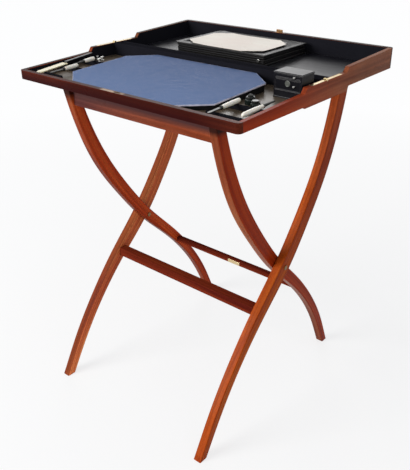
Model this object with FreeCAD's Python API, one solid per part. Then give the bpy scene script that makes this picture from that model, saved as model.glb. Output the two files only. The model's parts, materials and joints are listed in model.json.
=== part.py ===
import FreeCAD, Part
import math
import os

# A travelling writing box: two shallow halves hinged together, opened flat into a table on a
# folding X-frame stand. Millimetres, +Z up. The hinge line runs along X. While it is being made,
# every piece is placed from the hinge line (y = 0) and from the floor (z = 0); save() then moves
# it so that the origin is at the middle of the whole object's footprint.
# The front half (-Y) is the writing leaf, the back half (+Y) is the base.

# ---------------------------------------------------------------- driving dimensions: the case
CASE_WIDTH = 540.0          # outside, side to side
LEAF_DEPTH = 247.0          # hinge line to the outside of the front wall, and of the back wall
HINGE_HEIGHT = 714.0        # hinge axis above the floor
RIM_STEP = 9.0              # each step of the rim, on both sides of the hinge
RIM_SLOPE = 5.0             # fall of the rim from its step to the front, and its rise to the back
RIM_STEP_AT = 68.5          # hinge line to the middle of a step
RIM_STEP_LEAN = 3.5         # half the run of a step's sloping face
RIM_STEP_ROUND = 3.0        # rounding at the top and the bottom of a step
LEAF_UNDER = 31.5           # hinge axis down to the underside of the front leaf
BASE_UNDER = 25.5           # hinge axis down to the underside of the base
APRON_UNDER = 34.5          # hinge axis down to the side walls' lower edge beside the hinge
APRON_LENGTH = 75.0         # hinge line to the end of that deeper stretch
APRON_EASE = 6.0            # run of the curve or slope that ends it
SIDE_WALL = 8.0
END_WALL = 10.0             # front wall of the leaf, back wall of the base
HINGE_WALL = 6.0            # inner wall along the hinge line of each half
FLOOR_BOARD = 5.0
LINING = 1.0
LINING_BELOW_RIM = 1.2
CORNER_ROUND = 8.0
CLOSING_GAP = 0.3           # between the halves, open at the hinge and shut at the rim
TROUGH_WIDTH = 13.0         # pen trough between the base's hinge wall and its partition
PARTITION = 5.0
PARTITION_BELOW_RIM = 1.0

# ---------------------------------------------------------------- driving dimensions: hinges, lock
HINGE_LEAF_LENGTH = 50.0
HINGE_LEAF_WIDTH = 6.4
HINGE_LEAF_THICK = 2.0
KNUCKLE_RADIUS = 2.6
KNUCKLE_CLEARANCE = 0.4     # around a knuckle, and between knuckles
HINGE_PIN_RADIUS = 1.2
PIN_FIT = 0.05              # radial clearance of a pin in the piece that turns on it
SCREW_HEAD_RADIUS = 1.9
SCREW_SHANK_RADIUS = 0.9
SCREW_LENGTH = 9.0
HINGE_SCREWS = 3
LINK_X = 3.0                # place of the link plate along the rim
LINK_PLATE = (26.0, 7.0, 1.2)
LINK_STUB = (15.0, 3.0, 6.0)
LOCK_PLATE = (58.0, 8.0, 1.2)
LOCK_PLATE_X = -8.0
LOCK_SLOT_CLEARANCE = 0.45
LOCK_POCKET_DEPTH = 8.0

# ---------------------------------------------------------------- driving dimensions: writing pad
TOOL_BAY = 93.5             # outside of the case to the side edge of the pad
PAD_FRONT_MARGIN = 3.0      # pad to the lining of the front wall
PAD_BACK_MARGIN = 1.85      # pad to the leaf's hinge wall
PAD_CORNER_X = 51.0         # run of the cut corners along the width
PAD_CORNER_Y = 42.0         # and along the depth
WRITING_SLOPE = 2.0         # degrees, rising from the front wall towards the hinge
PAD_BOARD = 6.7             # thickness at the front wall; it grows with the slope
PAD_SHEET = 2.5
PAD_BOARD_INSET = 1.5

# ---------------------------------------------------------------- driving dimensions: tools
# places are (in from the nearer side of the case, back from the front of the leaf)
REST_HEIGHT = 6.0           # cross bars that the tools lie on, at the front wall
REST_WIDTH = 5.0
REST_CLEAR = 2.5            # bars stand clear of the pad by this much
LEFT_RESTS = (31.0, 87.0, 143.0)
RIGHT_RESTS = (33.0, 84.0)
TOOL_SEAT = 0.1             # between a round tool and the bars

PAPER_KNIFE_TIP = (35.0, 16.0)
PAPER_KNIFE_TURN = 8.0      # degrees, its handle towards the side wall
PAPER_KNIFE_BLADE = (78.0, 15.0, 2.4)
PAPER_KNIFE_HANDLE = (80.0, 7.0, 5.0)
PAPER_KNIFE_EDGE = 1.8
LEFT_KNIFE_TIP = (67.0, 23.0)
RIGHT_KNIFE_TIP = (72.0, 14.0)
KNIFE_BLADE = (32.0, 6.0, 1.6)
LEFT_KNIFE_HANDLE = 36.0
RIGHT_KNIFE_HANDLE = 50.0
KNIFE_HANDLE_RADIUS = 4.0
SEAL_FRONT = (54.5, 91.0)
SEAL_SHANK_LENGTH = 24.0
SEAL_SHANK_RADIUS = 2.2
SEAL_HANDLE_LENGTH = 30.0
SEAL_HANDLE_RADIUS = 4.0
FOLDER_FRONT = (21.5, 34.5)
FOLDER_HANDLE_LENGTH = 56.0
FOLDER_HANDLE_RADIUS = 4.0
FOLDER_SHANK_LENGTH = 30.0
FOLDER_SHANK_RADIUS = 2.4
DESK_SEAL_PLACES = ((18.0, 183.0), (31.0, 185.0), (40.0, 169.0))
DESK_SEAL_RADIUS = 4.5
DESK_SEAL_HEIGHT = 9.0
INK_POT_PLACE = (70.0, 121.5)
INK_POT_RADIUS = 10.0
POUNCE_POT_PLACE = (49.5, 107.0)
POUNCE_POT_RADIUS = 8.5
POT_HEIGHT = 13.0
POT_CAP_RADIUS = 5.0
POT_CAP_HEIGHT = 4.0

# ---------------------------------------------------------------- driving dimensions: casket
CASKET_WIDTH = 56.0
CASKET_DEPTH = 37.0
CASKET_IN = 39.5            # outside of the case to the middle of the casket
CASKET_BACK = 27.0          # hinge line to the casket's back
CASKET_PLINTH = 13.0
CASKET_WALL = 2.5
CASKET_TOP = 2.5
CASKET_SHELF = 1.6
LOWER_DRAWER_HEIGHT = 18.6
UPPER_DRAWER_HEIGHT = 7.0
DRAWER_CLEARANCE = 0.3
DRAWER_WALL = 1.5
DRAWER_FRONT = 3.0
DRAWER_TRAVEL = 28.0
DRAWER_KNOB_X = 13.5        # from the casket's middle towards its right side
DRAWER_KNOB_RADIUS = 1.9
DRAWER_KNOB_STAND = 4.0
ESCUTCHEON_RADIUS = 5.3
ESCUTCHEON_THICK = 1.0
ESCUTCHEON_RAISE = 3.2      # above the middle of the lower drawer

# ---------------------------------------------------------------- driving dimensions: papers
PORTFOLIO_WIDTH = 232.0
PORTFOLIO_DEPTH = 150.0
PORTFOLIO_MIDDLE = -34.0    # middle of the case to the middle of the portfolio
PORTFOLIO_MARGIN = 10.0     # portfolio to the lining of the back wall
PORTFOLIO_THICK = 21.0
PORTFOLIO_COVER = 2.0
PORTFOLIO_COVER_OVERHANG = 1.5
PORTFOLIO_ROUND = 3.0
PORTFOLIO_STUD_RADIUS = 3.0
PORTFOLIO_STUD_STAND = 2.0
PORTFOLIO_STUD_IN = 14.0    # from its right edge
LETTER_SIZE = (206.0, 135.0, 1.6)
LETTER_CORNER = (33.0, 28.0)
LETTER_OFF = (6.0, -15.0)   # from the middle of the portfolio
LETTER_TURN = -1.0          # degrees about +Z

# ---------------------------------------------------------------- driving dimensions: stand
LEG_THICK = 18.0            # along X
FRAME_INSET = 56.7          # outside of the case to the outer frame's outside
FRAME_GAP = 1.3             # between an outer and an inner leg
WASHER_THICK = 1.0
WASHER_RADIUS = 9.0
CROSS_BACK = -13.0          # hinge line to the crossing pivots
CROSS_HEIGHT = 326.0
TOP_SPREAD = 183.0          # crossing pivots to either top line, along Y
RAIL_NOSE = 11.5            # round top of the inner rail, and of the inner legs
INNER_UPPER_BOW = 30.0
INNER_LOWER_BOW = 30.0
INNER_FOOT_REACH = 229.0    # crossing pivots to the middle of an inner foot, along Y
INNER_WIDTHS = (23.0, 29.0, 26.0, 20.0, 17.0)
OUTER_UPPER_BOW = 32.0
OUTER_LOWER_BOW = 25.0
OUTER_FOOT_REACH = 262.0
OUTER_WIDTHS = (30.0, 31.0, 33.0, 22.0, 18.0)
LEG_EDGE = 2.0              # rounding of the legs' long edges
INNER_RAIL_DEEP = 48.0
FRONT_STRETCHER = (21.0, 20.0)
FRONT_STRETCHER_HEIGHT = 254.0
BACK_STRETCHER = (14.0, 12.0)
BACK_STRETCHER_HEIGHT = 220.0
STRETCHER_EDGE = 1.5
PLAQUE_SIZE = (34.0, 0.8, 8.5)
PLAQUE_X = 8.0
CROSS_PIN_RADIUS = 3.0
CROSS_PIN_HEAD_RADIUS = 5.0
CROSS_PIN_HEAD = 1.8
CROSS_PIN_END_GAP = 0.3
CLEAT_THICK = 16.0          # along X, inside the outer legs
CLEAT_LENGTH = 34.0
CLEAT_DROP = 13.0           # cleat below the top pivot
CLEAT_CLEARANCE = 0.3
TOP_PIN_RADIUS = 4.0
TOP_PIN_HEAD_RADIUS = 6.0
TOP_PIN_HEAD = 1.5
REST_GAP = 0.3              # inner rail below the front leaf that it carries

# ---------------------------------------------------------------- worked out from them
HALF = CASE_WIDTH / 2
HALF_GAP = CLOSING_GAP / 2
INSIDE = HALF - SIDE_WALL
MIDDLE_RIM = HINGE_HEIGHT - HALF_GAP
LOW_RIM = MIDDLE_RIM - RIM_STEP
FRONT_RIM = LOW_RIM - RIM_SLOPE
HIGH_RIM = MIDDLE_RIM + RIM_STEP
BACK_RIM = HIGH_RIM + RIM_SLOPE
LEAF_BOTTOM = HINGE_HEIGHT - LEAF_UNDER
BASE_BOTTOM = HINGE_HEIGHT - BASE_UNDER
APRON_BOTTOM = HINGE_HEIGHT - APRON_UNDER
LEAF_FLOOR = LEAF_BOTTOM + FLOOR_BOARD
BASE_FLOOR = BASE_BOTTOM + FLOOR_BOARD
LEAF_BED = LEAF_FLOOR + LINING
BASE_BED = BASE_FLOOR + LINING
WALL_INNER = LEAF_DEPTH - END_WALL
HINGE_WALL_INNER = HALF_GAP + HINGE_WALL
REST_TOP = LEAF_BED + REST_HEIGHT
PARTITION_FRONT = HINGE_WALL_INNER + TROUGH_WIDTH
PAD_HALF_WIDTH = HALF - TOOL_BAY
PAD_FRONT = WALL_INNER - LINING - PAD_FRONT_MARGIN
PAD_BACK = HINGE_WALL_INNER + PAD_BACK_MARGIN
CASKET_X = HALF - CASKET_IN
PORTFOLIO_LEFT = PORTFOLIO_MIDDLE - PORTFOLIO_WIDTH / 2
PORTFOLIO_RIGHT = PORTFOLIO_MIDDLE + PORTFOLIO_WIDTH / 2
PORTFOLIO_BACK = WALL_INNER - LINING - PORTFOLIO_MARGIN
PORTFOLIO_FRONT = PORTFOLIO_BACK - PORTFOLIO_DEPTH
TOP_LINE_HEIGHT = LEAF_BOTTOM - REST_GAP - RAIL_NOSE
INNER_TOP_BACK = CROSS_BACK - TOP_SPREAD
OUTER_TOP_BACK = CROSS_BACK + TOP_SPREAD
OUTER_FRAME_HALF = HALF - FRAME_INSET
OUTER_FRAME_INNER = OUTER_FRAME_HALF - LEG_THICK
INNER_FRAME_HALF = OUTER_FRAME_INNER - FRAME_GAP
INNER_FRAME_INNER = INNER_FRAME_HALF - LEG_THICK
FAR = 60.0                  # length of a cutter or run-out that only has to be long enough


def box(x0, x1, y0, y1, z0, z1):
    corner = FreeCAD.Vector(min(x0, x1), min(y0, y1), min(z0, z1))
    return Part.makeBox(abs(x1 - x0), abs(y1 - y0), abs(z1 - z0), corner)


def rod(radius, start, end):
    line = FreeCAD.Vector(*end) - FreeCAD.Vector(*start)
    return Part.makeCylinder(radius, line.Length, FreeCAD.Vector(*start), line)


def dome(radius, start, end, edge):
    # a rod whose far end has a rounded edge
    solid = rod(radius, start, end)
    tip = FreeCAD.Vector(*end)
    rims = [e for e in solid.Edges if len(e.Vertexes) == 1 and e.CenterOfMass.distanceToPoint(tip) < 0.001]
    return solid.makeFillet(edge, rims)


def side_prism(points, x0, x1):
    # a flat outline in the Y-Z plane, carried from x0 to x1
    wire = Part.makePolygon([FreeCAD.Vector(x0, y, z) for y, z in points + points[:1]])
    return Part.Face(wire).extrude(FreeCAD.Vector(x1 - x0, 0, 0))


def mirrored(shape):
    return shape.mirror(FreeCAD.Vector(0, 0, 0), FreeCAD.Vector(1, 0, 0))


def upright_edges(shape, places):
    # the vertical edges that stand at the given (x, y) places
    found = []
    for edge in shape.Edges:
        low, high = edge.BoundBox.ZMin, edge.BoundBox.ZMax
        middle = edge.CenterOfMass
        for x, y in places:
            if high - low > edge.Length - 0.001 and abs(middle.x - x) < 0.01 and abs(middle.y - y) < 0.01:
                found.append(edge)
    return found


def edges_along_x(shape):
    return [e for e in shape.Edges if e.BoundBox.XLength > e.Length - 0.001 and e.Length > 1.0]


# ---------------------------------------------------------------- the case
def base_side_profile():
    step = RIM_STEP_AT
    lean = RIM_STEP_LEAN
    return [
        (HALF_GAP, APRON_BOTTOM), (APRON_LENGTH - APRON_EASE, APRON_BOTTOM), (APRON_LENGTH, BASE_BOTTOM),
        (WALL_INNER, BASE_BOTTOM), (WALL_INNER, BACK_RIM), (step + lean, HIGH_RIM),
        (step - lean, MIDDLE_RIM), (HALF_GAP, MIDDLE_RIM)]


def leaf_side_profile():
    step = -RIM_STEP_AT + CLOSING_GAP
    lean = RIM_STEP_LEAN
    rise = (LEAF_BOTTOM - APRON_BOTTOM) / 2
    return [
        (-HALF_GAP, APRON_BOTTOM), (-APRON_LENGTH + APRON_EASE, APRON_BOTTOM),
        (-APRON_LENGTH + APRON_EASE / 2, APRON_BOTTOM + rise), (-APRON_LENGTH, LEAF_BOTTOM),
        (-WALL_INNER, LEAF_BOTTOM), (-WALL_INNER, FRONT_RIM), (step - lean, LOW_RIM),
        (step + lean, MIDDLE_RIM), (-HALF_GAP, MIDDLE_RIM)]


def hinge_cut(side):
    # room in a side wall for the plate and for the knuckle of one half's hinge
    middle = HALF - SIDE_WALL / 2
    half_width = HINGE_LEAF_WIDTH / 2
    floor = MIDDLE_RIM - HINGE_LEAF_THICK
    plate = box(middle - half_width, middle + half_width, 0, side * HINGE_LEAF_LENGTH, floor, HIGH_RIM)
    round_room = rod(KNUCKLE_RADIUS + KNUCKLE_CLEARANCE,
                     (INSIDE - 1, 0, HINGE_HEIGHT), (HALF + 1, 0, HINGE_HEIGHT))
    cut = plate.fuse(round_room)
    for y in hinge_screw_places(side):
        cut = cut.fuse(rod(SCREW_SHANK_RADIUS, (middle, y, floor), (middle, y, MIDDLE_RIM - SCREW_LENGTH)))
    return cut


def hinge_screw_places(side):
    first = KNUCKLE_RADIUS + 3 * SCREW_HEAD_RADIUS
    last = HINGE_LEAF_LENGTH - 2.5 * SCREW_HEAD_RADIUS
    pitch = (last - first) / (HINGE_SCREWS - 1)
    return [side * (first + i * pitch) for i in range(HINGE_SCREWS)]


def side_wall(profile, side):
    wall = side_prism(profile, INSIDE, HALF)
    near_step = RIM_STEP_AT + 2 * RIM_STEP_LEAN
    corners = [e for e in edges_along_x(wall) if e.CenterOfMass.z > LOW_RIM - RIM_SLOPE / 4
               and RIM_STEP_AT - 2 * RIM_STEP_LEAN < abs(e.CenterOfMass.y) < near_step]
    return wall.makeFillet(RIM_STEP_ROUND, corners).cut(hinge_cut(side))


def end_wall(side, bottom, rim):
    wall = box(-HALF, HALF, side * WALL_INNER, side * LEAF_DEPTH, bottom, rim)
    outer = [(-HALF, side * LEAF_DEPTH), (HALF, side * LEAF_DEPTH)]
    return wall.makeFillet(CORNER_ROUND, upright_edges(wall, outer))


def base_back_wall():
    wall = end_wall(1, BASE_BOTTOM, BACK_RIM)
    return wall.cut(link_plate_seat())


def leaf_front_wall():
    wall = end_wall(-1, LEAF_BOTTOM, FRONT_RIM)
    return wall.cut(lock_plate_seat()).cut(lock_pocket())


def floor_board(side, bottom):
    return box(-INSIDE, INSIDE, side * HALF_GAP, side * WALL_INNER, bottom, bottom + FLOOR_BOARD)


def hinge_wall(side, floor):
    return box(-INSIDE, INSIDE, side * HALF_GAP, side * HINGE_WALL_INNER, floor, MIDDLE_RIM)


def bed_lining(side, floor):
    # the sheet that covers a half's floor, between its wall linings
    inner = INSIDE - LINING
    return box(-inner, inner, side * HINGE_WALL_INNER, side * (WALL_INNER - LINING), floor, floor + LINING)


def wall_lining(profile_top, side, floor, rim):
    # thin boards on the inner faces of the two side walls and the end wall of one half
    top = [(y, z - LINING_BELOW_RIM) for y, z in profile_top]
    near = side * HINGE_WALL_INNER
    far = side * WALL_INNER
    outline = [(near, floor), (far, floor)] + top
    right = side_prism(outline, INSIDE - LINING, INSIDE)
    end = box(-INSIDE + LINING, INSIDE - LINING, far - side * LINING, far, floor, rim - LINING_BELOW_RIM)
    return Part.makeCompound([right, mirrored(right), end])


def base_wall_lining():
    top = [(WALL_INNER, BACK_RIM), (RIM_STEP_AT + RIM_STEP_LEAN, HIGH_RIM),
           (RIM_STEP_AT - RIM_STEP_LEAN, MIDDLE_RIM), (HINGE_WALL_INNER, MIDDLE_RIM)]
    return wall_lining(top, 1, BASE_FLOOR, BACK_RIM)


def leaf_wall_lining():
    step = -RIM_STEP_AT + CLOSING_GAP
    top = [(-WALL_INNER, FRONT_RIM), (step - RIM_STEP_LEAN, LOW_RIM),
           (step + RIM_STEP_LEAN, MIDDLE_RIM), (-HINGE_WALL_INNER, MIDDLE_RIM)]
    return wall_lining(top, -1, LEAF_FLOOR, FRONT_RIM)


def partition():
    inner = INSIDE - LINING
    return box(-inner, inner, PARTITION_FRONT, PARTITION_FRONT + PARTITION, BASE_BED,
               MIDDLE_RIM - PARTITION_BELOW_RIM)


# ---------------------------------------------------------------- hinges and lock
def knuckle_spans():
    # three knuckles across the side wall: the leaf has the two outer ones, the base the middle one
    room = HINGE_LEAF_WIDTH - 2 * KNUCKLE_CLEARANCE
    each = room / 3
    start = HALF - SIDE_WALL / 2 - HINGE_LEAF_WIDTH / 2
    starts = [start + i * (each + KNUCKLE_CLEARANCE) for i in range(3)]
    return [(x, x + each) for x in starts]


def along_hinge(radius):
    return rod(radius, (INSIDE, 0, HINGE_HEIGHT), (HALF, 0, HINGE_HEIGHT))


def hinge_plate(side):
    middle = HALF - SIDE_WALL / 2
    x0, x1 = middle - HINGE_LEAF_WIDTH / 2, middle + HINGE_LEAF_WIDTH / 2
    low = MIDDLE_RIM - HINGE_LEAF_THICK
    plate = box(x0, x1, side * HALF_GAP, side * HINGE_LEAF_LENGTH, low, MIDDLE_RIM)
    plate = plate.cut(along_hinge(KNUCKLE_RADIUS + KNUCKLE_CLEARANCE))
    spans = knuckle_spans()
    own = [spans[1]] if side > 0 else [spans[0], spans[2]]
    reach = KNUCKLE_RADIUS + 2 * KNUCKLE_CLEARANCE
    for x0, x1 in own:
        knuckle = rod(KNUCKLE_RADIUS, (x0, 0, HINGE_HEIGHT), (x1, 0, HINGE_HEIGHT))
        web = box(x0, x1, side * HALF_GAP, side * reach, low, MIDDLE_RIM)
        plate = plate.fuse(knuckle).fuse(web)
    bore = HINGE_PIN_RADIUS if side > 0 else HINGE_PIN_RADIUS + PIN_FIT
    plate = plate.cut(along_hinge(bore))
    for y in hinge_screw_places(side):
        plate = plate.cut(screw(middle, y, MIDDLE_RIM))
    return plate.removeSplitter()


def hinge_pin():
    spans = knuckle_spans()
    return rod(HINGE_PIN_RADIUS, (spans[0][0], 0, HINGE_HEIGHT), (spans[2][1], 0, HINGE_HEIGHT))


def screw(x, y, top):
    # countersunk screw, head level with the plate
    head = Part.makeCone(SCREW_SHANK_RADIUS, SCREW_HEAD_RADIUS, SCREW_HEAD_RADIUS - SCREW_SHANK_RADIUS,
                         FreeCAD.Vector(x, y, top - (SCREW_HEAD_RADIUS - SCREW_SHANK_RADIUS)))
    return head.fuse(rod(SCREW_SHANK_RADIUS, (x, y, top - SCREW_LENGTH), (x, y, top - 0.5))).removeSplitter()


def hinge_screws(side):
    middle = HALF - SIDE_WALL / 2
    right = [screw(middle, y, MIDDLE_RIM) for y in hinge_screw_places(side)]
    return Part.makeCompound(right + [mirrored(s) for s in right])


def both_sides(shape):
    return Part.makeCompound([shape, mirrored(shape)])


def wall_middle():
    return LEAF_DEPTH - END_WALL / 2


def plate_block(size, x, side, top):
    length, width, thick = size
    y = side * wall_middle()
    return box(x - length / 2, x + length / 2, y - width / 2, y + width / 2, top - thick, top)


def link_plate_seat():
    return plate_block(LINK_PLATE, LINK_X, 1, BACK_RIM)


def link_plate():
    length, width, height = LINK_STUB
    y = wall_middle()
    x0, x1 = LINK_X - length / 2, LINK_X + length / 2
    stub = box(x0, x1, y - width / 2, y + width / 2, BACK_RIM, BACK_RIM + height)
    crown = [e for e in stub.Edges if e.BoundBox.ZMin > BACK_RIM + height - 0.001]
    stub = stub.makeFillet(1.2, crown)
    return plate_block(LINK_PLATE, LINK_X, 1, BACK_RIM).fuse(stub).removeSplitter()


def lock_plate_seat():
    return plate_block(LOCK_PLATE, LOCK_PLATE_X, -1, FRONT_RIM)


def lock_pocket():
    length, width, _ = LINK_STUB
    room = 2 * LOCK_SLOT_CLEARANCE
    return plate_block((length + room, width + room, LOCK_POCKET_DEPTH), LINK_X, -1, FRONT_RIM)


def lock_plate():
    return plate_block(LOCK_PLATE, LOCK_PLATE_X, -1, FRONT_RIM).cut(lock_pocket())


# ---------------------------------------------------------------- the writing slope
def slope_at(y):
    # height of the slope above the floor; it starts from the bed at the front wall
    return LEAF_BED + (y + WALL_INNER) * math.tan(math.radians(WRITING_SLOPE))


def under_slope(lift):
    # everything between the leaf's bed and a plane that lies this far above the slope
    points = [(-WALL_INNER, LEAF_BED), (0, LEAF_BED), (0, slope_at(0) + lift),
              (-WALL_INNER, slope_at(-WALL_INNER) + lift)]
    return side_prism(points, -INSIDE, INSIDE)


def leaned(shape):
    # tips a tool that was made level at the front wall, so that it lies along the slope
    tipped = shape.copy()
    tipped.rotate(FreeCAD.Vector(0, -WALL_INNER, REST_TOP), FreeCAD.Vector(1, 0, 0), WRITING_SLOPE)
    return tipped


# ---------------------------------------------------------------- writing pad
def eight_sided(x0, x1, y0, y1, corner, bottom, height):
    # an upright block whose four corners are cut off
    cut_x, cut_y = corner
    points = [
        (x0 + cut_x, y0), (x1 - cut_x, y0), (x1, y0 + cut_y), (x1, y1 - cut_y),
        (x1 - cut_x, y1), (x0 + cut_x, y1), (x0, y1 - cut_y), (x0, y0 + cut_y)]
    wire = Part.makePolygon([FreeCAD.Vector(px, py, bottom) for px, py in points + points[:1]])
    return Part.Face(wire).extrude(FreeCAD.Vector(0, 0, height))


def pad_block(inset):
    x = PAD_HALF_WIDTH - inset
    corner = (PAD_CORNER_X, PAD_CORNER_Y)
    return eight_sided(-x, x, -PAD_FRONT + inset, -PAD_BACK - inset, corner, LEAF_BED, FAR)


def pad_board():
    return pad_block(PAD_BOARD_INSET).common(under_slope(PAD_BOARD))


def writing_pad():
    return pad_block(0.0).common(under_slope(PAD_BOARD + PAD_SHEET)).cut(under_slope(PAD_BOARD))


# ---------------------------------------------------------------- tools in the leaf
def in_leaf(side, place):
    # x and y of a place in a tool bay: side is -1 for the left bay and 1 for the right
    return side * (HALF - place[0]), -LEAF_DEPTH + place[1]


def rest_bar(side, back):
    near = PAD_HALF_WIDTH + REST_CLEAR
    far = INSIDE - LINING
    middle = -LEAF_DEPTH + back
    half = REST_WIDTH / 2
    bar = box(side * near, side * far, middle - half, middle + half, LEAF_BED, LEAF_BED + FAR)
    return bar.common(under_slope(REST_HEIGHT))


def tool_rests():
    left = [rest_bar(-1, back) for back in LEFT_RESTS]
    right = [rest_bar(1, back) for back in RIGHT_RESTS]
    return Part.makeCompound(left + right)


def blade(tip, size, bottom):
    # a flat blade along +Y from its tip, with the tip rounded in plan
    length, width, thick = size
    x, y = tip
    half = width / 2
    nose = width * 0.9
    point = FreeCAD.Vector(x, y, bottom)
    left = FreeCAD.Vector(x - half, y + nose, bottom)
    right = FreeCAD.Vector(x + half, y + nose, bottom)
    left_end = FreeCAD.Vector(x - half, y + length, bottom)
    right_end = FreeCAD.Vector(x + half, y + length, bottom)
    left_middle = FreeCAD.Vector(x - half * 0.7, y + nose * 0.28, bottom)
    right_middle = FreeCAD.Vector(x + half * 0.7, y + nose * 0.28, bottom)
    edges = [
        Part.Arc(point, left_middle, left).toShape(),
        Part.makeLine(left, left_end),
        Part.makeLine(left_end, right_end),
        Part.makeLine(right_end, right),
        Part.Arc(right, right_middle, point).toShape()]
    return Part.Face(Part.Wire(edges)).extrude(FreeCAD.Vector(0, 0, thick))


def turned_at_tip(shape, tip, degrees):
    swung = shape.copy()
    swung.rotate(FreeCAD.Vector(tip[0], tip[1], 0), FreeCAD.Vector(0, 0, 1), degrees)
    return swung


def paper_knife_blade():
    tip = in_leaf(-1, PAPER_KNIFE_TIP)
    return leaned(turned_at_tip(blade(tip, PAPER_KNIFE_BLADE, REST_TOP), tip, PAPER_KNIFE_TURN))


def paper_knife_handle():
    length, width, thick = PAPER_KNIFE_HANDLE
    x, tip_y = in_leaf(-1, PAPER_KNIFE_TIP)
    start = tip_y + PAPER_KNIFE_BLADE[0]
    top = REST_TOP + thick
    body = box(x - width / 2, x + width / 2, start, start + length, REST_TOP, top)
    upper = [e for e in body.Edges if e.BoundBox.YLength > length - 0.001 and e.BoundBox.ZMin > top - 0.001]
    handle = body.makeFillet(PAPER_KNIFE_EDGE, upper)
    return leaned(turned_at_tip(handle, (x, tip_y), PAPER_KNIFE_TURN))


def round_shank(x, y0, y1, radius, handle_radius):
    # a round shank on the same axis as the handle that it is set in
    z = REST_TOP + TOOL_SEAT + handle_radius
    return leaned(rod(radius, (x, y0, z), (x, y1, z)))


def round_handle(x, y0, y1, radius):
    z = REST_TOP + TOOL_SEAT + radius
    return leaned(dome(radius, (x, y0, z), (x, y1, z), radius * 0.6))


def knife_blades():
    bottom = REST_TOP + TOOL_SEAT + KNIFE_HANDLE_RADIUS - KNIFE_BLADE[2] / 2
    left = blade(in_leaf(-1, LEFT_KNIFE_TIP), KNIFE_BLADE, bottom)
    right = blade(in_leaf(1, RIGHT_KNIFE_TIP), KNIFE_BLADE, bottom)
    return Part.makeCompound([leaned(left), leaned(right)])


def knife_handle(side, tip, length):
    x, tip_y = in_leaf(side, tip)
    start = tip_y + KNIFE_BLADE[0]
    return round_handle(x, start, start + length, KNIFE_HANDLE_RADIUS)


def seal_shank():
    x, y = in_leaf(-1, SEAL_FRONT)
    return round_shank(x, y, y + SEAL_SHANK_LENGTH, SEAL_SHANK_RADIUS, SEAL_HANDLE_RADIUS)


def seal_handle():
    x, y = in_leaf(-1, SEAL_FRONT)
    start = y + SEAL_SHANK_LENGTH
    return round_handle(x, start, start + SEAL_HANDLE_LENGTH, SEAL_HANDLE_RADIUS)


def folder_handle():
    x, y = in_leaf(1, FOLDER_FRONT)
    return round_handle(x, y + FOLDER_HANDLE_LENGTH, y, FOLDER_HANDLE_RADIUS)


def folder_shank():
    x, y = in_leaf(1, FOLDER_FRONT)
    start = y + FOLDER_HANDLE_LENGTH
    return round_shank(x, start, start + FOLDER_SHANK_LENGTH, FOLDER_SHANK_RADIUS, FOLDER_HANDLE_RADIUS)


def desk_seal(place):
    x, y = in_leaf(-1, place)
    neck = DESK_SEAL_RADIUS * 0.45
    half = DESK_SEAL_HEIGHT / 2
    stem = rod(neck, (x, y, LEAF_BED), (x, y, LEAF_BED + half))
    cap = Part.makeCone(neck, DESK_SEAL_RADIUS, half, FreeCAD.Vector(x, y, LEAF_BED + half))
    foot = rod(DESK_SEAL_RADIUS, (x, y, LEAF_BED), (x, y, LEAF_BED + half / 2))
    return stem.fuse(cap).fuse(foot).removeSplitter()


def desk_seals():
    return Part.makeCompound([desk_seal(place) for place in DESK_SEAL_PLACES])


def pot(place, radius):
    x, y = in_leaf(1, place)
    return dome(radius, (x, y, LEAF_BED), (x, y, LEAF_BED + POT_HEIGHT), 1.2)


def pots():
    return Part.makeCompound([pot(INK_POT_PLACE, INK_POT_RADIUS), pot(POUNCE_POT_PLACE, POUNCE_POT_RADIUS)])


def pot_cap():
    x, y = in_leaf(1, INK_POT_PLACE)
    bottom = LEAF_BED + POT_HEIGHT
    return dome(POT_CAP_RADIUS, (x, y, bottom), (x, y, bottom + POT_CAP_HEIGHT), POT_CAP_HEIGHT * 0.45)


# ---------------------------------------------------------------- casket with two drawers
CASKET_FRONT = CASKET_BACK + CASKET_DEPTH
LOWER_SHELF_TOP = LEAF_BED + CASKET_PLINTH
LOWER_BAY_TOP = LOWER_SHELF_TOP + LOWER_DRAWER_HEIGHT + 2 * DRAWER_CLEARANCE
UPPER_SHELF_TOP = LOWER_BAY_TOP + CASKET_SHELF
UPPER_BAY_TOP = UPPER_SHELF_TOP + UPPER_DRAWER_HEIGHT + 2 * DRAWER_CLEARANCE
CASKET_HEAD = UPPER_BAY_TOP + CASKET_TOP
BAY_HALF = CASKET_WIDTH / 2 - CASKET_WALL
DRAWER_HALF = BAY_HALF - DRAWER_CLEARANCE
DRAWER_LENGTH = CASKET_DEPTH - CASKET_WALL - DRAWER_CLEARANCE


def casket_block(half_width, front, back, low, high):
    return box(CASKET_X - half_width, CASKET_X + half_width, front, back, low, high)


def casket_body():
    body = casket_block(CASKET_WIDTH / 2, -CASKET_FRONT, -CASKET_BACK, LEAF_BED, CASKET_HEAD)
    for low, high in ((LOWER_SHELF_TOP, LOWER_BAY_TOP), (UPPER_SHELF_TOP, UPPER_BAY_TOP)):
        body = body.cut(casket_block(BAY_HALF, -CASKET_FRONT - 1, -CASKET_BACK - CASKET_WALL, low, high))
    return body


def drawer(shelf, height):
    low = shelf + DRAWER_CLEARANCE
    front = -CASKET_FRONT
    block = casket_block(DRAWER_HALF, front, front + DRAWER_LENGTH, low, low + height)
    inner_back = front + DRAWER_LENGTH - DRAWER_WALL
    hollow = casket_block(DRAWER_HALF - DRAWER_WALL, front + DRAWER_FRONT, inner_back, low + DRAWER_WALL,
                          low + height + 1)
    return block.cut(hollow)


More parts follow.
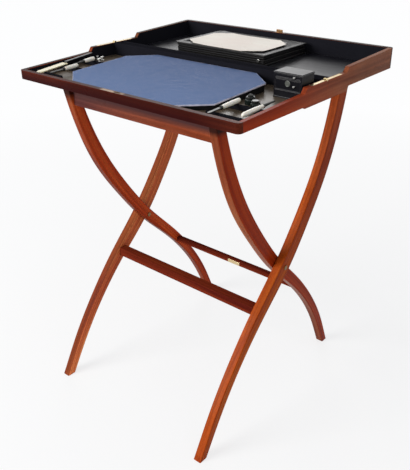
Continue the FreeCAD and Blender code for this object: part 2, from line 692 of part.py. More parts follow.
def drawer_knob(shelf, height):
    x = CASKET_X + DRAWER_KNOB_X
    z = shelf + DRAWER_CLEARANCE + height / 2
    front = -CASKET_FRONT
    neck = rod(DRAWER_KNOB_RADIUS * 0.5, (x, front, z), (x, front - DRAWER_KNOB_STAND / 2, z))
    head = dome(DRAWER_KNOB_RADIUS, (x, front - DRAWER_KNOB_STAND / 2, z), (x, front - DRAWER_KNOB_STAND, z),
                DRAWER_KNOB_STAND / 5)
    return neck.fuse(head).removeSplitter()


def escutcheon():
    z = LOWER_SHELF_TOP + DRAWER_CLEARANCE + LOWER_DRAWER_HEIGHT / 2 + ESCUTCHEON_RAISE
    face = -CASKET_FRONT
    return dome(ESCUTCHEON_RADIUS, (CASKET_X, face, z), (CASKET_X, face - ESCUTCHEON_THICK, z),
                ESCUTCHEON_THICK / 2)


# ---------------------------------------------------------------- papers in the base
def portfolio_body():
    top = BASE_BED + PORTFOLIO_THICK
    body = box(PORTFOLIO_LEFT, PORTFOLIO_RIGHT, PORTFOLIO_FRONT, PORTFOLIO_BACK, BASE_BED, top)
    corners = [(x, y) for x in (PORTFOLIO_LEFT, PORTFOLIO_RIGHT) for y in (PORTFOLIO_FRONT, PORTFOLIO_BACK)]
    return body.makeFillet(PORTFOLIO_ROUND, upright_edges(body, corners))


def portfolio_cover():
    out = PORTFOLIO_COVER_OVERHANG
    bottom = BASE_BED + PORTFOLIO_THICK
    x0, x1 = PORTFOLIO_LEFT - out, PORTFOLIO_RIGHT + out
    y0, y1 = PORTFOLIO_FRONT - out, PORTFOLIO_BACK + out
    cover = box(x0, x1, y0, y1, bottom, bottom + PORTFOLIO_COVER)
    corners = [(x, y) for x in (x0, x1) for y in (y0, y1)]
    return cover.makeFillet(PORTFOLIO_ROUND, upright_edges(cover, corners))


def portfolio_stud():
    x = PORTFOLIO_RIGHT - PORTFOLIO_STUD_IN
    z = BASE_BED + PORTFOLIO_THICK / 2
    end = PORTFOLIO_FRONT - PORTFOLIO_STUD_STAND
    return dome(PORTFOLIO_STUD_RADIUS, (x, PORTFOLIO_FRONT, z), (x, end, z), PORTFOLIO_STUD_STAND * 0.4)


def letter_sheets():
    width, depth, thick = LETTER_SIZE
    x = PORTFOLIO_MIDDLE + LETTER_OFF[0]
    y = (PORTFOLIO_FRONT + PORTFOLIO_BACK) / 2 + LETTER_OFF[1]
    bottom = BASE_BED + PORTFOLIO_THICK + PORTFOLIO_COVER
    half_x, half_y = width / 2, depth / 2
    sheets = eight_sided(x - half_x, x + half_x, y - half_y, y + half_y, LETTER_CORNER, bottom, thick)
    sheets.rotate(FreeCAD.Vector(x, y, 0), FreeCAD.Vector(0, 0, 1), LETTER_TURN)
    return sheets


# ---------------------------------------------------------------- stand
def leg_middle_line(direction, foot_reach, upper_bow, lower_bow):
    # points down the middle of a leg: top line, crossing, foot and a run-out below the floor.
    # direction is -1 for the inner frame, whose top is in front, and +1 for the outer frame.
    rise = TOP_LINE_HEIGHT - CROSS_HEIGHT
    points = []
    for part in (1.0, 0.75, 0.5, 0.25, 0.0):
        bow = upper_bow * math.sin(math.pi * part)
        points.append((CROSS_BACK + direction * (TOP_SPREAD * part + bow), CROSS_HEIGHT + rise * part))
    for part in (0.25, 0.5, 0.75, 1.0):
        bow = lower_bow * math.sin(math.pi * part)
        points.append((CROSS_BACK - direction * (foot_reach * part + bow), CROSS_HEIGHT * (1 - part)))
    last, before = points[-1], points[-2]
    run = [(a - b) / 3 for a, b in zip(last, before)]
    points.append((last[0] + run[0], last[1] + run[1]))
    return points


def width_along(widths, count):
    # widths at the top, upper middle, crossing, lower middle and foot, spread over the points
    stations = [i * (len(widths) - 1) / (count - 2) for i in range(count - 1)]
    found = []
    for s in stations:
        i = min(int(s), len(widths) - 2)
        found.append(widths[i] + (widths[i + 1] - widths[i]) * (s - i))
    return found + [widths[-1]]


def curve_through(points):
    curve = Part.BSplineCurve()
    curve.interpolate([FreeCAD.Vector(0, y, z) for y, z in points])
    return curve


def leg(points, widths, nose, x_inner, x_outer):
    line = curve_through(points)
    left, right = [], []
    for (y, z), width in zip(points, width_along(widths, len(points))):
        way = line.tangent(line.parameter(FreeCAD.Vector(0, y, z)))[0]
        across = FreeCAD.Vector(0, way.z, -way.y).normalize() * (width / 2)
        left.append((y - across.y, z - across.z))
        right.append((y + across.y, z + across.z))
    left_edge = curve_through(left).toShape()
    right_edge = curve_through(right[::-1]).toShape()
    top = FreeCAD.Vector(0, *points[0])
    way = line.tangent(line.parameter(top))[0]
    crown = top - FreeCAD.Vector(way).normalize() * nose
    cap = Part.Arc(FreeCAD.Vector(0, *right[0]), crown, FreeCAD.Vector(0, *left[0])).toShape()
    foot = Part.makeLine(FreeCAD.Vector(0, *left[-1]), FreeCAD.Vector(0, *right[-1]))
    face = Part.Face(Part.Wire([left_edge, foot, right_edge, cap]))
    solid = face.extrude(FreeCAD.Vector(x_outer - x_inner, 0, 0))
    solid.translate(FreeCAD.Vector(x_inner, 0, 0))
    long_edges = [e for e in solid.Edges if e.BoundBox.XLength < 0.001 and e.Length > FAR]
    solid = solid.makeFillet(LEG_EDGE, long_edges)
    below = box(x_inner - 1, x_outer + 1, -2 * LEAF_DEPTH, 2 * LEAF_DEPTH, -2 * FAR, 0)
    return solid.cut(below)


def inner_points():
    return leg_middle_line(-1, INNER_FOOT_REACH, INNER_UPPER_BOW, INNER_LOWER_BOW)


def outer_points():
    return leg_middle_line(1, OUTER_FOOT_REACH, OUTER_UPPER_BOW, OUTER_LOWER_BOW)


def inner_leg():
    solid = leg(inner_points(), INNER_WIDTHS, RAIL_NOSE, INNER_FRAME_INNER, INNER_FRAME_HALF)
    return solid.cut(across_bore(CROSS_PIN_RADIUS + PIN_FIT, CROSS_BACK, CROSS_HEIGHT))


def outer_leg():
    solid = leg(outer_points(), OUTER_WIDTHS, OUTER_WIDTHS[0] / 2, OUTER_FRAME_INNER, OUTER_FRAME_HALF)
    solid = solid.cut(across_bore(TOP_PIN_RADIUS + PIN_FIT, OUTER_TOP_BACK, TOP_LINE_HEIGHT))
    return solid.cut(across_bore(CROSS_PIN_RADIUS, CROSS_BACK, CROSS_HEIGHT))


def across_bore(radius, y, z):
    return rod(radius, (INNER_FRAME_INNER - FAR / 2, y, z), (OUTER_FRAME_HALF + FAR / 2, y, z))


def point_at_height(points, height):
    # where the middle line of a leg passes a height
    curve = curve_through(points)
    low, high = curve.FirstParameter, curve.LastParameter
    for _ in range(50):
        middle = (low + high) / 2
        if curve.value(middle).z > height:
            low = middle
        else:
            high = middle
    return curve.value(low).y


def inner_top_rail():
    # set back behind the middle of the legs, with half a round nose under the front leaf
    y, z = INNER_TOP_BACK, TOP_LINE_HEIGHT
    inner = INNER_FRAME_INNER
    board = box(-inner, inner, y, y + RAIL_NOSE, z + RAIL_NOSE - INNER_RAIL_DEEP, z)
    nose = rod(RAIL_NOSE, (-inner, y, z), (inner, y, z))
    back_half = box(-inner, inner, y, y + RAIL_NOSE, z, z + RAIL_NOSE)
    return board.fuse(nose.common(back_half)).removeSplitter()


def stretcher(points, size, height, half_length):
    thick, deep = size
    y = point_at_height(points, height)
    bar = box(-half_length, half_length, y - thick / 2, y + thick / 2, height - deep / 2, height + deep / 2)
    return bar.makeChamfer(STRETCHER_EDGE, edges_along_x(bar))


def front_stretcher():
    return stretcher(outer_points(), FRONT_STRETCHER, FRONT_STRETCHER_HEIGHT, OUTER_FRAME_INNER)


def back_stretcher():
    return stretcher(inner_points(), BACK_STRETCHER, BACK_STRETCHER_HEIGHT, INNER_FRAME_INNER)


def stretcher_plaque():
    length, thick, height = PLAQUE_SIZE
    y = point_at_height(inner_points(), BACK_STRETCHER_HEIGHT) - BACK_STRETCHER[0] / 2
    z = BACK_STRETCHER_HEIGHT
    return box(PLAQUE_X - length / 2, PLAQUE_X + length / 2, y - thick, y, z - height / 2, z + height / 2)


def cross_pin():
    # a rivet: fast in the outer leg, turning in the inner leg, with a head at each end
    y, z = CROSS_BACK, CROSS_HEIGHT
    inner_seat = INNER_FRAME_INNER - CROSS_PIN_END_GAP
    outside = OUTER_FRAME_HALF
    edge = CROSS_PIN_HEAD / 2
    shank = rod(CROSS_PIN_RADIUS, (inner_seat, y, z), (outside, y, z))
    outer_head = dome(CROSS_PIN_HEAD_RADIUS, (outside, y, z), (outside + CROSS_PIN_HEAD, y, z), edge)
    inner_head = dome(CROSS_PIN_HEAD_RADIUS, (inner_seat, y, z), (inner_seat - CROSS_PIN_HEAD, y, z), edge)
    return shank.fuse(outer_head).fuse(inner_head).removeSplitter()


def cross_washer():
    y, z = CROSS_BACK, CROSS_HEIGHT
    ring = rod(WASHER_RADIUS, (INNER_FRAME_HALF, y, z), (INNER_FRAME_HALF + WASHER_THICK, y, z))
    return ring.cut(across_bore(CROSS_PIN_RADIUS + PIN_FIT, y, z))


def cleat():
    y, z = OUTER_TOP_BACK, TOP_LINE_HEIGHT
    x1 = OUTER_FRAME_INNER - CLEAT_CLEARANCE
    half = CLEAT_LENGTH / 2
    block = box(x1 - CLEAT_THICK, x1, y - half, y + half, z - CLEAT_DROP, BASE_BOTTOM)
    lower = [e for e in edges_along_x(block) if e.BoundBox.ZMax < z]
    return block.makeFillet(CLEAT_DROP * 0.8, lower).cut(across_bore(TOP_PIN_RADIUS, y, z))


def top_pin():
    # fast in the cleat, turning in the outer leg, with its head on the leg's outside
    y, z = OUTER_TOP_BACK, TOP_LINE_HEIGHT
    start = OUTER_FRAME_INNER - CLEAT_CLEARANCE - CLEAT_THICK
    seat = OUTER_FRAME_HALF + CLEAT_CLEARANCE
    shank = rod(TOP_PIN_RADIUS, (start, y, z), (seat, y, z))
    head = dome(TOP_PIN_HEAD_RADIUS, (seat, y, z), (seat + TOP_PIN_HEAD, y, z), TOP_PIN_HEAD / 2)
    return shank.fuse(head).removeSplitter()


# ---------------------------------------------------------------- export
def origin_shift():
    # from the hinge line to the middle of the footprint, front foot to back wall
    foot_front = min(v.Point.y for v in outer_leg().Vertexes)
    return -(foot_front + LEAF_DEPTH) / 2


SHIFT = origin_shift()


def save(name, shape):
    moved = shape.copy()
    moved.translate(FreeCAD.Vector(0, SHIFT, 0))
    if not moved.isValid():
        print("not valid:", name)
    moved.exportStep(os.path.join("parts", name + ".step"))


def save_case():
    save("base_floor", floor_board(1, BASE_BOTTOM))
    save("base_back_wall", base_back_wall())
    save("base_right_wall", side_wall(base_side_profile(), 1))
    save("base_left_wall", mirrored(side_wall(base_side_profile(), 1)))
    save("base_hinge_wall", hinge_wall(1, BASE_FLOOR))
    save("base_bed_lining", bed_lining(1, BASE_FLOOR))
    save("base_wall_lining", base_wall_lining())
    save("base_partition", partition())
    save("leaf_floor", floor_board(-1, LEAF_BOTTOM))
    save("leaf_front_wall", leaf_front_wall())
    save("leaf_right_wall", side_wall(leaf_side_profile(), -1))
    save("leaf_left_wall", mirrored(side_wall(leaf_side_profile(), -1)))
    save("leaf_hinge_wall", hinge_wall(-1, LEAF_FLOOR))
    save("leaf_bed_lining", bed_lining(-1, LEAF_FLOOR))
    save("leaf_wall_lining", leaf_wall_lining())


def save_metalwork():
    save("base_hinge_plates", both_sides(hinge_plate(1)))
    save("leaf_hinge_plates", both_sides(hinge_plate(-1)))
    save("hinge_pins", both_sides(hinge_pin()))
    save("base_hinge_screws", hinge_screws(1))
    save("leaf_hinge_screws", hinge_screws(-1))
    save("link_plate", link_plate())
    save("lock_plate", lock_plate())


def save_contents():
    save("pad_board", pad_board())
    save("writing_pad", writing_pad())
    save("tool_rests", tool_rests())
    save("paper_knife_blade", paper_knife_blade())
    save("paper_knife_handle", paper_knife_handle())
    save("knife_blades", knife_blades())
    save("left_knife_handle", knife_handle(-1, LEFT_KNIFE_TIP, LEFT_KNIFE_HANDLE))
    save("right_knife_handle", knife_handle(1, RIGHT_KNIFE_TIP, RIGHT_KNIFE_HANDLE))
    save("seal_shank", seal_shank())
    save("seal_handle", seal_handle())
    save("bone_folder_handle", folder_handle())
    save("bone_folder_shank", folder_shank())
    save("desk_seals", desk_seals())
    save("ink_and_pounce_pots", pots())
    save("ink_pot_cap", pot_cap())
    save("casket_body", casket_body())
    save("lower_drawer", drawer(LOWER_SHELF_TOP, LOWER_DRAWER_HEIGHT))
    save("lower_drawer_knob", drawer_knob(LOWER_SHELF_TOP, LOWER_DRAWER_HEIGHT))
    save("upper_drawer", drawer(UPPER_SHELF_TOP, UPPER_DRAWER_HEIGHT))
    save("upper_drawer_knob", drawer_knob(UPPER_SHELF_TOP, UPPER_DRAWER_HEIGHT))
    save("drawer_escutcheon", escutcheon())
    save("portfolio_body", portfolio_body())
    save("portfolio_cover", portfolio_cover())
    save("portfolio_stud", portfolio_stud())
    save("letter_sheets", letter_sheets())


def save_stand():
    right_inner, right_outer = inner_leg(), outer_leg()
    save("inner_right_leg", right_inner)
    save("inner_left_leg", mirrored(right_inner))
    save("outer_right_leg", right_outer)
    save("outer_left_leg", mirrored(right_outer))
    save("inner_top_rail", inner_top_rail())
    save("front_stretcher", front_stretcher())
    save("back_stretcher", back_stretcher())
    save("stretcher_plaque", stretcher_plaque())
    save("cross_pins", both_sides(cross_pin()))
    save("cross_washers", both_sides(cross_washer()))
    save("top_pivot_cleats", both_sides(cleat()))
    save("top_pivot_pins", both_sides(top_pin()))


os.makedirs("parts", exist_ok=True)
save_case()
save_metalwork()
save_contents()
save_stand()
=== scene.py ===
import bmesh
import bpy
import json
import math
from mathutils import Matrix, Vector, noise

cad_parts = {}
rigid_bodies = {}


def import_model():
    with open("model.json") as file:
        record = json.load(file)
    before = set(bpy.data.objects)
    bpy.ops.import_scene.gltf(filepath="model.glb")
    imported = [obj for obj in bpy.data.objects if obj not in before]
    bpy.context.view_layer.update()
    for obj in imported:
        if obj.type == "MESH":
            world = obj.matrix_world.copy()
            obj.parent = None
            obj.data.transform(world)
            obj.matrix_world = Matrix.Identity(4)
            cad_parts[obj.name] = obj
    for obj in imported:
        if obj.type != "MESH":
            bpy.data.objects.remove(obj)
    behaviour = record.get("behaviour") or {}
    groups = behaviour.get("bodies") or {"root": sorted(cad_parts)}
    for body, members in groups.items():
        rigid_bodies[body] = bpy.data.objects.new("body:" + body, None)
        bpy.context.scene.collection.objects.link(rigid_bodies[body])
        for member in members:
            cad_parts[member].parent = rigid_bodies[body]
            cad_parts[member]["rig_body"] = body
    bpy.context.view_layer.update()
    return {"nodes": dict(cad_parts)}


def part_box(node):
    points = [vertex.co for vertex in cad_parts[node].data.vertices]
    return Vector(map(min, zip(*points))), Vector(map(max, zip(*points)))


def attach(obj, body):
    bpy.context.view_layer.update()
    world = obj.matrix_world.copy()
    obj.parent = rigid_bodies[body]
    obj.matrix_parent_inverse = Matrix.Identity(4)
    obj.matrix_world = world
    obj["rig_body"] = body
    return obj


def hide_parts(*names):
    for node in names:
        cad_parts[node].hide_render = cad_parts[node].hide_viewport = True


# A travelling writing box, opened flat on its folding stand. Everything is in metres, in the
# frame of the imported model: +X to the writer's right, +Y to the back of the box, +Z up.

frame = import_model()
NODES = frame["nodes"]
MM = 0.001
WELD = 0.002 * MM
UP = Vector((0, 0, 1))
TO_FRONT = Vector((0, -1, 0))


# ---------------- at the bench: choosing and applying

def put_all_down():
    if bpy.context.mode != "OBJECT":
        bpy.ops.object.mode_set(mode="OBJECT")
    bpy.ops.object.select_all(action="DESELECT")


def take_up(obj):
    put_all_down()
    obj.select_set(True)
    bpy.context.view_layer.objects.active = obj


def edit(obj, kind="FACE"):
    take_up(obj)
    bpy.ops.object.mode_set(mode="EDIT")
    bpy.ops.mesh.select_mode(type=kind)


def done():
    bpy.ops.object.mode_set(mode="OBJECT")


def pick(obj, kind, test):
    # in edit mode: choose the faces, edges or verts that pass a test
    mesh = bmesh.from_edit_mesh(obj.data)
    for part in (mesh.verts, mesh.edges, mesh.faces):
        for item in part:
            item.select_set(False)
    for item in getattr(mesh, kind):
        if test(item):
            item.select_set(True)
    mesh.select_flush_mode()
    bmesh.update_edit_mesh(obj.data)


def settle(obj):
    take_up(obj)
    bpy.ops.object.transform_apply(location=True, rotation=True, scale=True)
    return obj


def apply_modifier(obj, modifier):
    take_up(obj)
    bpy.ops.object.modifier_apply(modifier=modifier.name)


def smooth(obj, angle=35):
    take_up(obj)
    bpy.ops.object.shade_smooth_by_angle(angle=math.radians(angle))
    even = obj.modifiers.new("even shading", "WEIGHTED_NORMAL")
    even.keep_sharp = True
    apply_modifier(obj, even)
    return obj


def ease_edges(obj, width, steps=2):
    # takes the sharpness off every edge, as a cabinet maker's sandpaper does
    ease = obj.modifiers.new("eased edges", "BEVEL")
    ease.width = width
    ease.segments = steps
    ease.limit_method = "ANGLE"
    ease.angle_limit = math.radians(30)
    apply_modifier(obj, ease)
    return smooth(obj, angle=40)


def cut_away(obj, waste):
    # takes a block of waste out of a piece
    cut = obj.modifiers.new("cut", "BOOLEAN")
    cut.object = waste
    apply_modifier(obj, cut)
    bpy.data.objects.remove(waste)


def join(name, pieces):
    put_all_down()
    for piece in pieces:
        piece.select_set(True)
    bpy.context.view_layer.objects.active = pieces[0]
    bpy.ops.object.join()
    pieces[0].name = name
    return pieces[0]


def another(obj, name):
    copy = obj.copy()
    copy.data = obj.data.copy()
    copy.name = name
    bpy.context.scene.collection.objects.link(copy)
    return copy


def copies_at(places, one):
    # a piece that is made once, and copied to each place, counted from where it was made
    made = []
    for place in places:
        copy = another(one, one.name)
        copy.location = place
        made.append(settle(copy))
    bpy.data.objects.remove(one)
    return made


def corners(node):
    # the low and the high corner of the box round a solid
    low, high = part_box(node)
    return Vector(low), Vector(high)


def middle(node):
    low, high = corners(node)
    return (low + high) / 2


# ---------------- at the bench: starting shapes

def block(name, low, high):
    low, high = Vector(low), Vector(high)
    put_all_down()
    bpy.ops.mesh.primitive_cube_add(size=1, location=(low + high) / 2)
    obj = bpy.context.object
    obj.name = name
    obj.scale = high - low
    return settle(obj)


def turned(name, base, direction, profile, sides=32):
    # lathe work: profile is (distance from the base, radius) along the direction
    put_all_down()
    start, radius = profile[0]
    bpy.ops.mesh.primitive_circle_add(vertices=sides, radius=radius, fill_type="NGON",
                                      location=(0, 0, start))
    obj = bpy.context.object
    obj.name = name
    settle(obj)
    edit(obj)
    bpy.ops.mesh.select_all(action="SELECT")
    for height, wide in profile[1:]:
        bpy.ops.mesh.extrude_region_move(TRANSFORM_OT_translate={"value": (0, 0, height - start)})
        bpy.ops.transform.resize(value=(wide / radius, wide / radius, 1),
                                 center_override=(0, 0, height))
        start, radius = height, wide
    bpy.ops.mesh.select_all(action="SELECT")
    bpy.ops.mesh.normals_make_consistent(inside=False)
    done()
    obj.rotation_mode = "QUATERNION"
    obj.rotation_quaternion = UP.rotation_difference(Vector(direction))
    obj.location = Vector(base)
    return settle(obj)


def turned_to(shape, name, base, direction, length, radius, sides=32):
    # lathe work to a shape given as (share of the length, share of the radius)
    profile = [(along * length, wide * radius) for along, wide in shape]
    return turned(name, base, direction, profile, sides)


def copy_of(node):
    # a working copy of a solid, welded, with its flat faces made whole again
    source = NODES[node]
    obj = source.copy()
    obj.data = source.data.copy()
    obj.parent = None
    for key in list(obj.keys()):
        del obj[key]
    obj.name = node + "_finished"
    bpy.context.scene.collection.objects.link(obj)
    obj.data.materials.clear()
    edit(obj, "VERT")
    bpy.ops.mesh.select_all(action="SELECT")
    bpy.ops.mesh.remove_doubles(threshold=WELD)
    bpy.ops.mesh.dissolve_limited(angle_limit=math.radians(0.4))
    done()
    return obj


# ---------------- finishes: shared effects

def add(tree, kind, **settings):
    node = tree.nodes.new(kind)
    for key, value in settings.items():
        setattr(node, key, value)
    return node


def scaled(tree, coordinates, scale):
    mapping = add(tree, "ShaderNodeMapping")
    mapping.inputs["Scale"].default_value = scale
    tree.links.new(coordinates, mapping.inputs["Vector"])
    return mapping.outputs["Vector"]


def noise_of(tree, coordinates, scale, detail=3.0, distortion=0.0):
    cloud = add(tree, "ShaderNodeTexNoise")
    cloud.inputs["Scale"].default_value = 1.0
    cloud.inputs["Detail"].default_value = detail
    cloud.inputs["Distortion"].default_value = distortion
    tree.links.new(scaled(tree, coordinates, scale), cloud.inputs["Vector"])
    return cloud.outputs["Fac"]


def between(tree, value, low, high, out_low=0.0, out_high=1.0):
    remap = add(tree, "ShaderNodeMapRange")
    remap.inputs["From Min"].default_value = low
    remap.inputs["From Max"].default_value = high
    remap.inputs["To Min"].default_value = out_low
    remap.inputs["To Max"].default_value = out_high
    tree.links.new(value, remap.inputs["Value"])
    return remap.outputs["Result"]


def give(tree, socket, value):
    # a socket takes a number, a colour or what another node makes
    if isinstance(value, (int, float)):
        socket.default_value = value
    elif isinstance(value, tuple):
        socket.default_value = value + (1.0,)
    else:
        tree.links.new(value, socket)


def math_of(tree, operation, first, second):
    node = add(tree, "ShaderNodeMath", operation=operation)
    give(tree, node.inputs[0], first)
    give(tree, node.inputs[1], second)
    return node.outputs[0]


def blended(tree, amount, first, second):
    mix = add(tree, "ShaderNodeMix", data_type="RGBA", blend_type="MIX")
    for i, value in ((0, amount), (6, first), (7, second)):
        give(tree, mix.inputs[i], value)
    return mix.outputs[2]


def brightened(tree, colour, amount):
    lit = add(tree, "ShaderNodeHueSaturation")
    tree.links.new(amount, lit.inputs["Value"])
    tree.links.new(colour, lit.inputs["Color"])
    return lit.outputs["Color"]


def along_axis(tree, vector, axis):
    parts = add(tree, "ShaderNodeSeparateXYZ")
    tree.links.new(vector, parts.inputs[0])
    return parts.outputs[axis]


def colour_steps(tree, value, steps):
    ramp = add(tree, "ShaderNodeValToRGB")
    band = ramp.color_ramp
    while len(band.elements) < len(steps):
        band.elements.new(0.5)
    for element, (place, colour) in zip(band.elements, steps):
        element.position = place
        element.color = colour + (1.0,)
    tree.links.new(value, ramp.inputs["Fac"])
    return ramp.outputs["Color"]


def effect(name, inputs, outputs):
    # an empty group: inputs are (label, kind), and outputs are the labels of plain values
    tree = bpy.data.node_groups.new(name, "ShaderNodeTree")
    for label, kind in inputs:
        tree.interface.new_socket(label, in_out="INPUT", socket_type=kind)
    for label in outputs:
        tree.interface.new_socket(label, in_out="OUTPUT", socket_type="NodeSocketFloat")
    return tree, add(tree, "NodeGroupInput"), add(tree, "NodeGroupOutput")


def hand_out(tree, outside, **values):
    for label, value in values.items():
        tree.links.new(value, outside.inputs[label])
    return tree


def wood_grain_effect():
    # wood that grows along X: broad figure, ribbon stripes and short open pores
    tree, inside, outside = effect(
        "wood grain", [("Along X", "NodeSocketVector")], ["Figure", "Stripe", "Pores"])
    along = inside.outputs["Along X"]
    figure = noise_of(tree, along, (3.0, 42.0, 42.0), 4.0, 0.6)
    stripe = noise_of(tree, along, (1.5, 160.0, 160.0), 2.0, 0.2)
    pores = between(tree, noise_of(tree, along, (260.0, 2600.0, 2600.0), 1.0), 0.60, 0.72)
    return hand_out(tree, outside, Figure=figure, Stripe=stripe, Pores=pores)


def edge_wear_effect():
    # where corners are rubbed: an even reach broken up by small clouds
    tree, inside, outside = effect(
        "edge wear", [("Place", "NodeSocketVector"), ("Reach", "NodeSocketFloat")], ["Worn"])
    rounded = add(tree, "ShaderNodeBevel", samples=4)
    tree.links.new(inside.outputs["Reach"], rounded.inputs["Radius"])
    surface = add(tree, "ShaderNodeNewGeometry")
    turn = add(tree, "ShaderNodeVectorMath", operation="DOT_PRODUCT")
    tree.links.new(rounded.outputs["Normal"], turn.inputs[0])
    tree.links.new(surface.outputs["Normal"], turn.inputs[1])
    corner = between(tree, turn.outputs["Value"], 0.995, 0.80)
    patchy = between(tree, noise_of(tree, inside.outputs["Place"], (90.0, 90.0, 90.0), 4.0), 0.35, 0.68)
    return hand_out(tree, outside, Worn=math_of(tree, "MULTIPLY", corner, patchy))


def handling_effect():
    # the uneven polish that hands and years leave: wide clouds and fine hair lines
    tree, inside, outside = effect(
        "handling", [("Place", "NodeSocketVector")], ["Clouds", "Hairlines"])
    place = inside.outputs["Place"]
    clouds = noise_of(tree, place, (14.0, 14.0, 14.0), 5.0, 0.8)
    across = noise_of(tree, place, (60.0, 3200.0, 900.0), 1.0, 0.3)
    other = noise_of(tree, place, (2900.0, 70.0, 900.0), 1.0, 0.3)
    lines = between(tree, math_of(tree, "MAXIMUM", across, other), 0.66, 0.78)
    return hand_out(tree, outside, Clouds=clouds, Hairlines=lines)


def fibre_effect():
    # paper: felted fibres, a slow tone change and a few faint age spots
    tree, inside, outside = effect(
        "paper fibre", [("Place", "NodeSocketVector")], ["Fibre", "Tone", "Spots"])
    place = inside.outputs["Place"]
    fibre = noise_of(tree, place, (1400.0, 1400.0, 1400.0), 3.0, 1.5)
    tone = noise_of(tree, place, (16.0, 16.0, 16.0), 3.0, 0.4)
    spots = between(tree, noise_of(tree, place, (130.0, 130.0, 130.0), 1.0), 0.70, 0.80)
    return hand_out(tree, outside, Fibre=fibre, Tone=tone, Spots=spots)


WOOD_GRAIN = wood_grain_effect()
EDGE_WEAR = edge_wear_effect()
HANDLING = handling_effect()
PAPER_FIBRE = fibre_effect()


def use(tree, group, **values):
    node = add(tree, "ShaderNodeGroup", node_tree=group)
    for label, value in values.items():
        give(tree, node.inputs[label.replace("_", " ")], value)
    return node


class Finish:
    # a material with its shader ready and the place on the piece to hand

    def __init__(self, name):
        self.material = bpy.data.materials.new(name)
        self.material.use_nodes = True
        self.tree = self.material.node_tree
        self.shader = self.tree.nodes["Principled BSDF"]
        self.place = add(self.tree, "ShaderNodeTexCoord").outputs["Object"]

    def fixed(self, **values):
        for label, value in values.items():
            self.shader.inputs[label.replace("_", " ")].default_value = value

    def driven(self, label, value):
        self.tree.links.new(value, self.shader.inputs[label])

    def shared(self, group, **values):
        return use(self.tree, group, Place=self.place, **values)

    def worn(self, reach):
        return self.shared(EDGE_WEAR, Reach=reach).outputs["Worn"]

    def clouds(self, scale, detail=3.0, distortion=0.0):
        return noise_of(self.tree, self.place, scale, detail, distortion)

    def along(self, axis):
        return along_axis(self.tree, self.place, axis)

    def times(self, value, amount):
        return math_of(self.tree, "MULTIPLY", value, amount)

    def plus(self, value, amount):
        return math_of(self.tree, "ADD", value, amount)

    def between(self, value, *limits):
        return between(self.tree, value, *limits)

    def blended(self, amount, first, second):
        return blended(self.tree, amount, first, second)

    def relief(self, height, depth, strength=1.0):
        bump = add(self.tree, "ShaderNodeBump")
        bump.inputs["Strength"].default_value = strength
        bump.inputs["Distance"].default_value = depth
        self.tree.links.new(height, bump.inputs["Height"])
        self.driven("Normal", bump.outputs["Normal"])


# ---------------- finishes: one function each

TURN_FOR_GRAIN = {"X": (0, 0, 0), "Y": (0, 0, -math.pi / 2)}


def straight_grain(tree, place, grain):
    turn = add(tree, "ShaderNodeMapping")
    turn.inputs["Rotation"].default_value = TURN_FOR_GRAIN[grain]
    tree.links.new(place, turn.inputs["Vector"])
    return turn.outputs["Vector"]


def swept_grain(tree, place, sweep):
    # grain that keeps to the middle line of a curved leg, given as (height, back) from foot to top
    parts = add(tree, "ShaderNodeSeparateXYZ")
    tree.links.new(place, parts.inputs[0])
    low, high = sweep[0][0], sweep[-1][0]
    front = min(back for height, back in sweep)
    rear = max(back for height, back in sweep)
    line = add(tree, "ShaderNodeFloatCurve")
    curve = line.mapping.curves[0]
    shares = [((height - low) / (high - low), (back - front) / (rear - front)) for height, back in sweep]
    curve.points[0].location = shares[0]
    curve.points[1].location = shares[-1]
    for share in shares[1:-1]:
        curve.points.new(*share)
    line.mapping.update()
    tree.links.new(between(tree, parts.outputs["Z"], low, high), line.inputs["Value"])
    middle_line = between(tree, line.outputs[0], 0.0, 1.0, front, rear)
    vector = add(tree, "ShaderNodeCombineXYZ")
    tree.links.new(parts.outputs["Z"], vector.inputs["X"])
    tree.links.new(math_of(tree, "SUBTRACT", parts.outputs["Y"], middle_line), vector.inputs["Y"])
    tree.links.new(parts.outputs["X"], vector.inputs["Z"])
    return vector.outputs["Vector"]


def wood_colour(tree, figure, tones):
    deep, body, light = tones
    return colour_steps(tree, figure, ((0.32, deep), (0.52, body), (0.72, light)))


def facing(tree, axis, none=0.5, full=0.8):
    # a mask by how squarely a face looks along an axis, either way: 0 at the share none, 1 at full
    look = along_axis(tree, add(tree, "ShaderNodeNewGeometry").outputs["True Normal"], axis)
    return between(tree, math_of(tree, "ABSOLUTE", look, 0.0), none, full)


